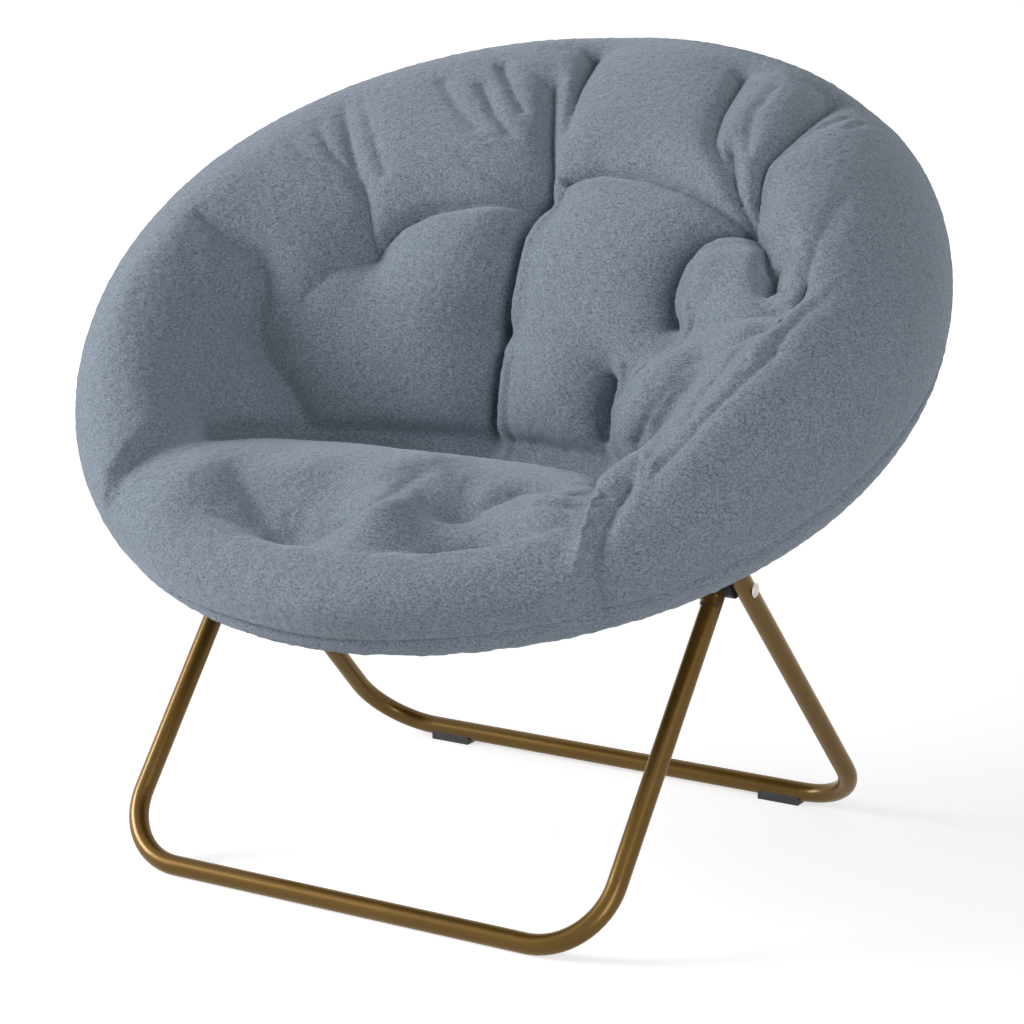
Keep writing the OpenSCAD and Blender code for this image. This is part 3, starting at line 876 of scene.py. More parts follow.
    def back_sections(self, count: int) -> list[Array]:
        """Sections of the back and sides, from notch to notch.

        Args:
            count: How many.

        Returns:
            The sections in order round the ring.
        """
        turn, start = 2 * math.pi, math.radians(self.notch_angle) - self.notch_lap
        sections = []
        for a in np.linspace(start, turn - start, count):
            b = math.pi / 2 * (1 - (a - start) / (math.pi - start))
            puff = self.puff[1] + (self.puff[2] - self.puff[1]) * math.sin(a) ** 2
            crown_h = self.around(a, self.crown)
            sections.append(self.section(b, a, crown_h, puff, -self.overlap, self.shelf_h))
        return sections

    def seat_sections(self, count: int) -> list[Array]:
        """Sections of the seat, from notch to notch.

        Args:
            count: How many.

        Returns:
            The sections from left to right.
        """
        notch = math.radians(self.notch_angle)
        same = (self.crown[0], self.puff[0], self.overlap, self.seat_belly)
        return [self.section(math.pi / 2 * s, notch * s, *same) for s in np.linspace(-1, 1, count)]


def loft(sections: Sequence[Array], mesh: bmesh.types.BMesh, plane: SeatPlane) -> None:
    """Skins closed sections, with a cap at both ends.

    Args:
        sections: Loops of as many points each.
        mesh: Where the faces go.
        plane: Turns seat points into part points.
    """
    rows = [[mesh.verts.new(p) for p in plane.to_part(section)] for section in sections]
    n = len(rows[0])
    for low, high in zip(rows, rows[1:]):
        for j in range(n):
            k = (j + 1) % n
            mesh.faces.new((low[j], low[k], high[k], high[j]))
    for row, turned in ((rows[0], False), (rows[-1], True)):
        middle = mesh.verts.new(sum((v.co for v in row), Vector()) / n)
        for j in range(n):
            ends = (row[j], row[(j + 1) % n]) if turned else (row[(j + 1) % n], row[j])
            mesh.faces.new((middle, *ends))


def bake(piece: bpy.types.Object) -> None:
    """Applies a piece's modifiers to its mesh.

    Args:
        piece: The piece, which keeps its name and loses its modifiers.
    """
    graph = bpy.context.evaluated_depsgraph_get()
    baked = bpy.data.meshes.new_from_object(piece.evaluated_get(graph))
    old = piece.data
    piece.modifiers.clear()
    piece.data = baked
    bpy.data.meshes.remove(old)
    baked.name = piece.name


def vectors(items: Sequence, key: str, kind: type = float) -> Array:
    """Reads one vector of each item.

    Args:
        items: A mesh's vertices, or a collection like it.
        key: The vector's name.
        kind: Float, or np.float32 for an attribute.

    Returns:
        One row of three per item.
    """
    flat = np.empty(len(items) * 3, kind)
    items.foreach_get(key, flat)
    return flat.reshape(-1, 3).astype(float)


# ---------------------------------------------------------------- cushion


class Fold(NamedTuple):
    """A crease in the fleece, drawn through the pixels where the photograph shows it.

    Depth, width, soft (the valley it lies in) and lift (the lip beside it) are in mm. The
    shares scale the sizes at its two ends.
    """

    pixels: tuple[tuple[float, float], ...]
    depth: float
    width: float
    start_share: float = 1.0
    end_share: float = 0.2
    soft: float = 0.0
    lift: float = 0.0

    def strength(self, share: float | Array) -> float | Array:
        """What scales its sizes at a share of its length."""
        return self.start_share + (self.end_share - self.start_share) * share


class Swell(NamedTuple):
    """A pillow of stuffing that stands out of the smooth skin, in the seat's axes in mm."""

    place: tuple[float, float]
    height: float
    spread: float


class Pillow(NamedTuple):
    """An inner lobe of stuffing, as an ellipsoid along the view's right, up and back, in mm."""

    centre: tuple[float, float, float]
    radii: tuple[float, float, float]


class Channel(NamedTuple):
    """A wide valley between two pillows, in the seat's axes in mm."""

    line: tuple[tuple[float, float], ...]
    depth: float
    width: float


class Tuft(NamedTuple):
    """A point where the cushion is tied through."""

    pixel: tuple[float, float]
    depth: float
    spread: float


class Track(NamedTuple):
    """A fold laid on the skin: its points in metres and its sizes in mm along them."""

    points: Array
    depth: Array
    soft: Array
    lift: Array
    width: float


class Tie(NamedTuple):
    """A tuft laid on the skin: its place in metres and its sizes in mm."""

    place: Array
    depth: float
    spread: float


PILLOWS = (
    Pillow((286, 37, 33), (82, 100, 78)),
    Pillow((271, -84, -8), (88, 84, 80)),
)

SWELLS = (
    Swell((50, -335), 20, 46),
    Swell((20, -235), 10, 45),
    Swell((-85, -285), 8, 40),
    Swell((-185, -345), 14, 48),
    Swell((215, -300), 16, 45),
)

CHANNELS = (
    Channel(((345, 30), (362, -20), (366, -80), (352, -150), (322, -225)), 16, 26),
)

TUFTS = (
    Tuft((535, 193), 44, 30),
    Tuft((495, 332), 40, 28),
    Tuft((368, 253), 34, 32),
    Tuft((260, 345), 32, 30),
    Tuft((733, 210), 44, 30),
    Tuft((791, 281), 30, 30),
    Tuft((284, 524), 54, 38),
    Tuft((456, 546), 58, 42),
    Tuft((460, 493), 54, 30),
)

FOLDS = (
    # middle of the back
    Fold(((535, 193), (545, 160), (547, 110), (549, 75)), 24, 8, 1.0, 0.6, 26),
    Fold(((563, 122), (575, 82), (593, 44)), 22, 7, 0.3, 1.0, 16),
    Fold(((535, 195), (517, 235), (508, 280), (495, 332)), 26, 7, 1.0, 1.0, 40, 10),
    Fold(((495, 332), (492, 370), (490, 412), (489, 446)), 26, 7, 1.0, 0.8, 40, 8),
    Fold(((368, 253), (398, 224), (430, 208), (480, 199), (533, 193)), 14, 6, 1.0, 0.7, 26),
    Fold(((535, 191), (560, 172), (600, 163), (650, 170), (690, 185), (733, 210)), 16, 7, 0.8, 1.0, 26),
    # left side of the back
    Fold(((366, 248), (365, 200), (350, 150), (342, 105)), 14, 6, 1.0, 0.3, 18),
    Fold(((362, 180), (330, 150), (316, 122)), 9, 6, 0.8, 0.3, 5),
    Fold(((350, 170), (312, 160), (290, 140)), 7, 6, 0.7, 0.2, 4),
    Fold(((382, 170), (372, 130), (362, 100)), 9, 6, 0.7, 0.3, 5),
    Fold(((365, 252), (330, 268), (308, 292), (294, 318)), 12, 9, 0.8, 0.2, 14),
    Fold(((508, 130), (492, 110), (480, 82)), 10, 6, 0.6, 0.8, 6),
    Fold(((520, 105), (508, 82), (500, 62)), 10, 6, 0.6, 0.9, 5),
    Fold(((475, 125), (456, 105), (442, 80)), 8, 7, 0.6, 0.6, 6),
    Fold(((532, 190), (500, 175), (460, 158)), 9, 8, 0.9, 0.2, 8),
    Fold(((200, 214), (232, 238), (262, 262), (264, 290), (258, 320), (260, 345)), 17, 9, 0.3, 1.0, 26),
    Fold(((260, 345), (272, 368), (290, 395), (310, 432)), 20, 9, 1.0, 0.9, 30),
    Fold(((345, 412), (354, 428), (366, 446)), 8, 6, 0.3, 1.0, 6),
    Fold(((384, 426), (388, 446)), 7, 5, 0.5, 1.0),
    # right side of the back
    Fold(((736, 206), (728, 180), (728, 142)), 18, 7, 1.0, 0.7, 18),
    Fold(((724, 165), (710, 134), (718, 108), (741, 68)), 16, 7, 0.6, 0.9, 12),
    Fold(((742, 200), (752, 176), (762, 154), (806, 114), (842, 89)), 16, 7, 1.0, 0.9, 16),
    Fold(((748, 190), (775, 150), (812, 122), (850, 112)), 9, 6, 0.9, 0.3, 6),
    Fold(((848, 126), (868, 118), (886, 114)), 8, 6, 0.2, 0.9, 4),
    Fold(((744, 142), (752, 110), (775, 84)), 8, 6, 0.8, 0.3, 5),
    Fold(((736, 215), (752, 245), (774, 267), (791, 281)), 20, 8, 1.0, 1.0, 26, 5),
    Fold(((800, 268), (816, 240), (832, 212), (858, 180)), 7, 12, 1.0, 0.1, 8),
    # inner pillow's edge against the back
    Fold(((733, 211), (712, 222), (694, 236), (677, 261), (666, 289), (662, 330)), 24, 8, 1.0, 1.0, 34, 6),
    Fold(((662, 330), (644, 343), (625, 361), (609, 384), (602, 411), (600, 440)), 24, 8, 1.0, 0.6, 34, 6),
    # folds of the inner pillow
    Fold(((790, 285), (772, 302), (742, 310), (712, 320), (682, 336)), 9, 8, 1.0, 0.2, 12),
    Fold(((772, 312), (742, 334), (711, 350), (684, 368)), 8, 8, 0.9, 0.2, 8),
    Fold(((740, 340), (716, 372), (692, 404), (672, 440)), 7, 7, 0.6, 0.3, 4),
    Fold(((712, 352), (676, 396), (652, 438), (640, 470)), 7, 7, 0.4, 0.9, 4),
    Fold(((682, 372), (652, 408), (634, 446), (630, 470)), 7, 7, 0.2, 1.0, 4),
    Fold(((742, 345), (739, 372)), 7, 6, 1.0, 0.3, 3),
    Fold(((836, 288), (811, 305), (786, 327), (772, 348)), 10, 10, 0.2, 0.8, 10),
    Fold(((772, 348), (752, 370), (716, 400), (680, 440), (652, 470)), 9, 12, 0.8, 0.8, 8),
    # seat
    Fold(((286, 523), (262, 508), (246, 486), (236, 468)), 10, 12, 1.0, 0.4, 18),
    Fold(((286, 523), (250, 525), (218, 532)), 8, 9, 1.0, 0.2, 10),
    Fold(((286, 523), (330, 508), (380, 486), (420, 466)), 9, 14, 1.0, 0.3, 14),
    Fold(((244, 524), (228, 534), (214, 548)), 6, 6, 0.8, 0.2, 3),
    Fold(((456, 546), (430, 548), (404, 552)), 9, 8, 1.0, 0.2, 8),
    Fold(((456, 546), (490, 538), (516, 520)), 9, 12, 1.0, 0.2, 12),
    Fold(((460, 492), (480, 486), (520, 478), (580, 484), (622, 490)), 12, 9, 0.8, 0.9, 14),
    Fold(((460, 492), (455, 470), (440, 450)), 9, 10, 1.0, 0.6, 10),
    Fold(((520, 492), (560, 500), (610, 498)), 9, 8, 0.2, 1.0, 6),
    Fold(((515, 524), (560, 522), (606, 516)), 8, 10, 0.3, 0.8, 8),
    # notch between the seat and the right side
    Fold(((624, 484), (608, 520), (594, 552), (592, 584), (596, 612), (599, 632)), 22, 8, 1.0, 0.5, 16, 3),
    Fold(((600, 556), (614, 562), (626, 560)), 6, 6, 1.0, 0.2, 3),
)


@dataclass
class Cushion:
    """The one-piece fleece cushion of seat, sides and back.

    Names that end in _mm are in mm. The main crease is carved by its depth, its valley's depth
    and its width. A tuft's valley (wide) and its pit (sharp) each have a share of its spread
    and of its depth. A lip beside a fold has its distance and its width, the seam its depth
    and its width. Valleys and creases each use a share of the stuffing under them, of which
    the spare is left alone.
    """

    plane: SeatPlane = field(default_factory=SeatPlane)
    shape: CushionShape = field(default_factory=CushionShape)
    name: str = "cushion"
    voxel: float = 7 * MM
    sections: tuple[int, int] = (180, 60)
    lobe_cuts: int = 4
    ease: tuple[float, int] = (0.5, 6)
    pressure: float = 4.0
    stiffness: float = 15.0
    bending: float = 0.5
    skin_mass: float = 0.3
    steps_per_frame: int = 4
    frames: int = 16
    hold_levels: int = 20
    hold_mm: float = 11.0
    hold_core: float = 1.25
    hold_past_mm: float = 12.0
    hold_slope: float = -0.15
    move_cap: float = 16 * MM
    jump: float = 24 * MM
    track_px: float = 6.0
    aim_share: float = 0.75
    aim_mm: float = 38.0
    crease_carve: Three = (24.0, 12.0, 9.0)
    crease_span: float = 1.5
    crease_steps: int = 60
    swell_slope: float = 0.2
    fold_slope: float = 0.6
    slope_fade: float = 0.4
    valley_mm: float = 34.0
    valley_power: float = 1.3
    fold_power: float = 1.25
    fold_reach: float = 3.5
    join_power: float = 2.5
    lip_mm: tuple[float, float] = (16.0, 12.0)
    lip_reach: float = 50 * MM
    tuft_power: float = 1.4
    tuft_wide: tuple[float, float] = (1.7, 0.8)
    tuft_sharp: tuple[float, float] = (0.55, 0.4)
    spare_mm: float = 16.0
    carve_share: tuple[float, float] = (0.7, 0.3)
    cap_power: int = 4
    seam_mm: tuple[float, float] = (5.5, 3.0)
    seam_power: float = 1.4
    seam_out_mm: float = 22.0
    pile_mm: float = 0.2475
    pile_waves: int = 26
    pile_wave_mm: tuple[float, float] = (8.5, 15.0)
    pile_seed: int = 7

    def build(self, view: PhotoView) -> bpy.types.Object:
        """Makes the finished mesh.

        Args:
            view: The photograph's view, which places the folds.

        Returns:
            The cushion, not yet riding on a body.
        """
        piece = self._lofted(view)
        self._remesh(piece)
        folds, tufts = self._placed(piece, view)
        folds += [self._main_crease(piece)]
        self._shift(piece, self._hollows(piece, folds, tufts, wide=True))
        self._inflate(piece, folds, tufts)
        self._subdivide(piece)
        self._shift(piece, self._hollows(piece, folds, tufts, wide=False))
        self._shift(piece, self._seam(piece))
        self._shift(piece, self._pile(piece))
        for polygon in piece.data.polygons:
            polygon.use_smooth = True
        return piece

    def _lobe(self, mesh: bmesh.types.BMesh, pillow: Pillow, view: PhotoView) -> None:
        """Adds an inner lobe as a closed volume that overlaps the lofts.

        Args:
            mesh: Where the faces go.
            pillow: The lobe's place and size.
            view: The view along which the lobe is measured.
        """
        middle = self.plane.to_part(np.array(pillow.centre, float))
        ways = (view.right, view.up, view.back)
        axes = [np.array(way) * r * MM for way, r in zip(ways, pillow.radii)]
        ball = bmesh.ops.create_icosphere(mesh, subdivisions=self.lobe_cuts, radius=1.0)
        for vert in ball["verts"]:
            vert.co = Vector(middle + sum(k * axis for k, axis in zip(vert.co, axes)))

    def _lofted(self, view: PhotoView) -> bpy.types.Object:
        """Seat, back and inner lobes as closed volumes in one mesh.

        Args:
            view: The photograph's view, along which the lobes are measured.

        Returns:
            The piece.
        """
        back, seat = self.sections
        mesh = bmesh.new()
        loft(self.shape.back_sections(back), mesh, self.plane)
        loft(self.shape.seat_sections(seat), mesh, self.plane)
        for pillow in PILLOWS:
            self._lobe(mesh, pillow, view)
        bmesh.ops.recalc_face_normals(mesh, faces=mesh.faces)
        data = bpy.data.meshes.new(self.name)
        mesh.to_mesh(data)
        mesh.free()
        return linked(self.name, data)

    def _remesh(self, piece: bpy.types.Object) -> None:
        """Wraps the volumes in one even skin, and keeps its smooth places, normals and room.

        Args:
            piece: The lofted volumes.
        """
        remesh = piece.modifiers.new("even_skin", "REMESH")
        remesh.mode = "VOXEL"
        remesh.voxel_size = self.voxel
        smooth = piece.modifiers.new("ease", "SMOOTH")
        smooth.factor, smooth.iterations = self.ease
        bake(piece)
        self._shift(piece, self._pillows(piece))
        points, normals = self._points(piece), self._normals(piece)
        room = np.tile(self._room(piece, points, normals)[:, None], 3)
        for name, values in (("rest_place", points), ("rest_way", normals), ("rest_room", room)):
            kept = piece.data.attributes.new(name, "FLOAT_VECTOR", "POINT")
            kept.data.foreach_set("vector", values.astype(np.float32).ravel())

    def _pillows(self, piece: bpy.types.Object) -> Array:
        """Raises the swells and sinks the channels, on the skin that faces up.

        Args:
            piece: The even skin.

        Returns:
            Offsets in metres.
        """
        points, normals = self._points(piece), self._normals(piece)
        seat = self.plane.to_seat(points)
        faces_up = self._faces_up(normals, self.swell_slope)
        offset = np.zeros(len(points))
        for swell in SWELLS:
            gap = np.hypot(seat[:, 0] - swell.place[0], seat[:, 1] - swell.place[1])
            offset += swell.height * np.exp(-((gap / swell.spread) ** 2))
        for channel in CHANNELS:
            best = np.full(len(points), np.inf)
            line = np.array(channel.line, float)
            for a, b in zip(line, line[1:]):
                d = b - a
                t = np.clip((seat[:, :2] - a) @ d / float(d @ d), 0, 1)
                best = np.minimum(best, np.linalg.norm(seat[:, :2] - a - t[:, None] * d, axis=1))
            offset -= channel.depth * np.exp(-((best / channel.width) ** 2))
        return normals * (offset * faces_up * MM)[:, None]

    def _faces_up(self, normals: Array, below: float) -> Array:
        """How far skin of these normals counts as facing up, 0 to 1, from a slope below level on."""
        return np.clip((normals @ self.plane.up + below) / self.slope_fade, 0, 1)

    @staticmethod
    def _room(piece: bpy.types.Object, points: Array, normals: Array) -> Array:
        """How far the stuffing reaches under each point of the skin.

        Args:
            piece: The skin.
            points: Its points.
            normals: Its normals.

        Returns:
            Distances in metres, no_wall where nothing is met.
        """
        no_wall, start = 0.3, 2 * MM
        tree = BVHTree.FromObject(piece, bpy.context.evaluated_depsgraph_get())
        room = np.full(len(points), no_wall)
        for k, (place, way) in enumerate(zip(points, normals)):
            inward = -Vector(way)
            far = tree.ray_cast(Vector(place) + inward * start, inward)[3]
            if far is not None:
                room[k] = far
        return room

    @staticmethod
    def _kept(piece: bpy.types.Object, name: str) -> Array:
        """A vector per point that was kept from the smooth skin."""
        return vectors(piece.data.attributes[name].data, "vector", np.float32)

    @staticmethod
    def _points(piece: bpy.types.Object) -> Array:
        """The mesh's points in metres."""
        return vectors(piece.data.vertices, "co")

    @staticmethod
    def _normals(piece: bpy.types.Object) -> Array:
        """The mesh's vertex normals."""
        return vectors(piece.data.vertex_normals, "vector")

    def _shift(self, piece: bpy.types.Object, offsets: Array) -> None:
        """Moves every point by its offset in metres."""
        piece.data.vertices.foreach_set("co", (self._points(piece) + offsets).ravel())
        piece.data.update()

    def _placed(self, piece: bpy.types.Object, view: PhotoView) -> tuple[list[Track], list[Tie]]:
        """Lays the folds and tufts on the skin.

        Args:
            piece: The smooth skin.
            view: The photograph's view.

        Returns:
            The folds' tracks, broken where they jump, and the tufts' ties.
        """
        tree = BVHTree.FromObject(piece, bpy.context.evaluated_depsgraph_get())

        def hit(pixel: Sequence[float], depth: float) -> Vector | None:
            """Finds where a hollow has to lie for its bottom to show at a pixel.

            Args:
                pixel: The pixel.
                depth: The hollow's depth in mm.

            Returns:
                The place on the skin, or None where the pixel misses it.
            """
            start, way = view.ray(*pixel)
            place, normal = tree.ray_cast(start, way)[:2]
            if place is None:
                return None
            if normal.dot(way) > 0:
                normal.negate()
            aside = normal - way * normal.dot(way)
            return tree.find_nearest(place + aside * min(depth * self.aim_share, self.aim_mm) * MM)[0]

        tracks = []
        for fold in FOLDS:
            pixels = np.array(fold.pixels, float)
            steps = np.r_[0, np.cumsum(np.linalg.norm(np.diff(pixels, axis=0), axis=1))]
            t = np.linspace(0, steps[-1], max(4, int(steps[-1] / self.track_px)))
            line = np.stack([np.interp(t, steps, pixels[:, k]) for k in (0, 1)], 1)
            run: list = []
            for pixel, share in zip(line, t / steps[-1]):
                place = hit(pixel, (fold.depth + fold.soft) * fold.strength(share))
                if run and (place is None or (place - run[-1][0]).length > self.jump):
                    tracks += self._track(fold, run)
                    run = []
                if place is not None:
                    run.append((place, share))
            tracks += self._track(fold, run)
        spots = [(hit(tuft.pixel, tuft.depth), tuft) for tuft in TUFTS]
        return tracks, [Tie(np.array(p), tuft.depth, tuft.spread) for p, tuft in spots if p is not None]

    @staticmethod
    def _track(fold: Fold, run: list) -> list[Track]:
        """Makes a track of one unbroken run of a fold.

        Args:
            fold: The fold.
            run: Its places on the skin, each with its share of the fold's length.

        Returns:
            The track alone, or nothing where the run is too short.
        """
        if len(run) < 3:
            return []
        strength = fold.strength(np.array([share for _, share in run]))
        points = np.array([place for place, _ in run])
        return [Track(points, fold.depth * strength, fold.soft * strength, fold.lift * strength, fold.width)]

    def _main_crease(self, piece: bpy.types.Object) -> Track:
        """Lays the long crease between seat and back on the skin.

        Args:
            piece: The smooth skin.

        Returns:
            Its track.
        """
        above = (0, 0, 20 * MM)
        depth, soft, width = self.crease_carve
        tree = BVHTree.FromObject(piece, bpy.context.evaluated_depsgraph_get())
        span = np.linspace(-self.crease_span, self.crease_span, self.crease_steps)
        line = np.array([self.shape.crease(b) for b in span])
        found = [tree.find_nearest(Vector(p + above))[0] for p in self.plane.to_part(line)]
        ones = np.ones(len(found))
        return Track(np.array(found), depth * ones, soft * ones, 0 * ones, width)

    @staticmethod
    def _nearest(track: Track, points: Array, normals: Array) -> tuple[Array, Array, Array]:
        """Measures points against a track.

        Args:
            track: The track.
            points: Points near it.
            normals: The skin's normals there.

        Returns:
            Their distance from it, their place along it in steps, and how far aside they lie.
        """
        best = np.full(len(points), np.inf)
        along, side = np.zeros(len(points)), np.zeros(len(points))
        for k, (a, b) in enumerate(zip(track.points, track.points[1:])):
            d = b - a
            size = float(d @ d)
            if size < 1e-12:
                continue
            t = np.clip((points - a) @ d / size, 0, 1)
            away = points - a - t[:, None] * d
            gap = np.linalg.norm(away, axis=1)
            closer = gap < best
            best[closer] = gap[closer]
            along[closer] = k + t[closer]
            across = np.cross(d / math.sqrt(size), normals[closer])
            side[closer] = np.einsum("ij,ij->i", away[closer], across)
        return best, along, side

    def _hollows(self, piece: bpy.types.Object, folds: list[Track], tufts: list[Tie], wide: bool) -> Array:
        """Carves the folds and tufts, as deep as the stuffing allows.

        Args:
            piece: The skin.
            folds: Placed folds.
            tufts: Placed tufts.
            wide: Whether to carve the soft valleys or the sharp creases.

        Returns:
            Offsets in metres.
        """
        points, normals = self._kept(piece, "rest_place"), self._kept(piece, "rest_way")
        normals /= np.maximum(np.linalg.norm(normals, axis=1), 1e-9)[:, None]
        faces_up = self._faces_up(normals, self.fold_slope)
        sunk, raised = np.zeros(len(points)), np.zeros(len(points))
        power = self.valley_power if wide else self.fold_power
        for track in folds:
            width = (self.valley_mm if wide else track.width) * MM
            reach = self.fold_reach * width
            low, high = track.points.min(0) - reach, track.points.max(0) + reach
            near = np.flatnonzero(np.all((points > low) & (points < high), axis=1) & (faces_up > 0))
            if not len(near):
                continue
            best, along, side = self._nearest(track, points[near], normals[near])
            steps = np.arange(len(track.points))
            depth = np.interp(along, steps, track.soft if wide else track.depth)
            sunk[near] += (depth * np.exp(-(best / width) ** power)) ** self.join_power
            if not wide and track.lift.any():
                lift = np.interp(along, steps, track.lift)
                out, spread = self.lip_mm
                lip = np.exp(-((np.abs(side) / MM - out) / spread) ** 2) * (best < self.lip_reach)
                raised[near] = np.maximum(raised[near], np.where(side < 0, lift * lip, 0))
        size, share = self.tuft_wide if wide else self.tuft_sharp
        for tie in tufts:
            away = np.linalg.norm(points - tie.place, axis=1) / (tie.spread * MM * size)
            sunk += (tie.depth * share * np.exp(-away ** self.tuft_power)) ** self.join_power
        room = self._kept(piece, "rest_room")[:, 0] / MM
        cap = np.maximum(room - self.spare_mm, 1) * self.carve_share[0 if wide else 1]
        sunk = sunk ** (1 / self.join_power)
        sunk /= (1 + (sunk / cap) ** self.cap_power) ** (1 / self.cap_power)
        return normals * ((raised - sunk) * faces_up * MM)[:, None]

    def _held(self, piece: bpy.types.Object, folds: list[Track], tufts: list[Tie]) -> None:
        """Makes the vertex group that holds folds, ties and underside in place.

        Args:
            piece: The skin.
            folds: Placed folds.
            tufts: Placed tufts.
        """
        points = self._kept(piece, "rest_place")
        places = [place for track in folds for place in track.points] + [tie.place for tie in tufts]
        tree = KDTree(len(places))
        for k, place in enumerate(places):
            tree.insert(place, k)
        tree.balance()
        gap = np.array([tree.find(p)[2] for p in points])
        seat = self.plane.to_seat(points)
        inside = np.hypot(seat[:, 0], seat[:, 1]) < self.shape.skirt_r + self.hold_past_mm
        hold = np.clip(self.hold_core - gap / (self.hold_mm * MM), 0, 1)
        hold[(self._normals(piece)[:, 2] < self.hold_slope) & inside] = 1
        group = piece.vertex_groups.new(name="held")
        for level in range(1, self.hold_levels + 1):
            picked = np.flatnonzero(np.round(hold * self.hold_levels) == level)
            group.add(picked.tolist(), level / self.hold_levels, "REPLACE")

    def _inflate(self, piece: bpy.types.Object, folds: list[Track], tufts: list[Tie]) -> None:
        """Blows the skin up with cloth pressure, held at its folds, tufts and underside.

        Args:
            piece: The skin with its valleys.
            folds: Placed folds.
            tufts: Placed tufts.
        """
        start = self._points(piece)
        self._held(piece, folds, tufts)
        cloth = piece.modifiers.new("stuffing", "CLOTH")
        settings = cloth.settings
        settings.quality = self.steps_per_frame
        settings.mass = self.skin_mass
        settings.tension_stiffness = settings.compression_stiffness = self.stiffness
        settings.shear_stiffness = self.stiffness / 3
        settings.bending_stiffness = self.bending
        settings.use_pressure = True
        settings.uniform_pressure_force = self.pressure
        settings.vertex_group_mass = "held"
        settings.effector_weights.gravity = 0
        cloth.collision_settings.use_collision = False
        cloth.point_cache.frame_start, cloth.point_cache.frame_end = 1, self.frames
        scene = bpy.context.scene
        for number in range(1, self.frames + 1):
            scene.frame_set(number)
        shown = piece.evaluated_get(bpy.context.evaluated_depsgraph_get())
        moved = vectors(shown.to_mesh().vertices, "co") - start
        shown.to_mesh_clear()
        piece.modifiers.clear()
        piece.vertex_groups.clear()
        scene.frame_set(1)
        size = np.linalg.norm(moved, axis=1)
        log.info("cushion swells by %.1f mm on average, %.1f mm at most", size.mean() / MM, size.max() / MM)
        moved *= (self.move_cap * np.tanh(size / self.move_cap) / np.maximum(size, 1e-9))[:, None]
        self._shift(piece, moved)

    @staticmethod
    def _subdivide(piece: bpy.types.Object) -> None:
        """Subdivides the skin once, smoothly.

        Args:
            piece: The skin.
        """
        finer = piece.modifiers.new("finer", "SUBSURF")
        finer.levels = finer.render_levels = 1
        bake(piece)

    def _seam(self, piece: bpy.types.Object) -> Array:
        """Draws in the sewn seam round the rim, where the face meets the back cloth.

        Args:
            piece: The skin.

        Returns:
            Offsets in metres.
        """
        points, normals = self._points(piece), self._normals(piece)
        seat = self.plane.to_seat(points)
        angle = np.arctan2(seat[:, 0], -seat[:, 1])
        depth, width = self.seam_mm
        away = (seat[:, 2] - self.shape.around(angle, self.shape.seam_h)) / width
        outer = np.hypot(seat[:, 0], seat[:, 1]) > self.shape.ring_r + self.seam_out_mm
        sunk = np.where(outer, depth * np.exp(-np.abs(away) ** self.seam_power), 0.0)
        return -normals * (sunk * MM)[:, None]

    def _pile(self, piece: bpy.types.Object) -> Array:
        """Raises small curls of pile, by waves that cross in all directions.

        Args:
            piece: The skin.

        Returns:
            Offsets in metres.
        """
        points, normals = self._points(piece), self._normals(piece)
        p = points / MM
        rng = np.random.default_rng(self.pile_seed)
        height = np.zeros(len(p))
        for _ in range(self.pile_waves):
            way = rng.normal(size=3)
            way *= 2 * math.pi / rng.uniform(*self.pile_wave_mm) / np.linalg.norm(way)
            height += np.sin(p @ way + rng.uniform(0, 2 * math.pi))
        height /= math.sqrt(self.pile_waves / 2)
        return normals * (self.pile_mm * height * MM)[:, None]


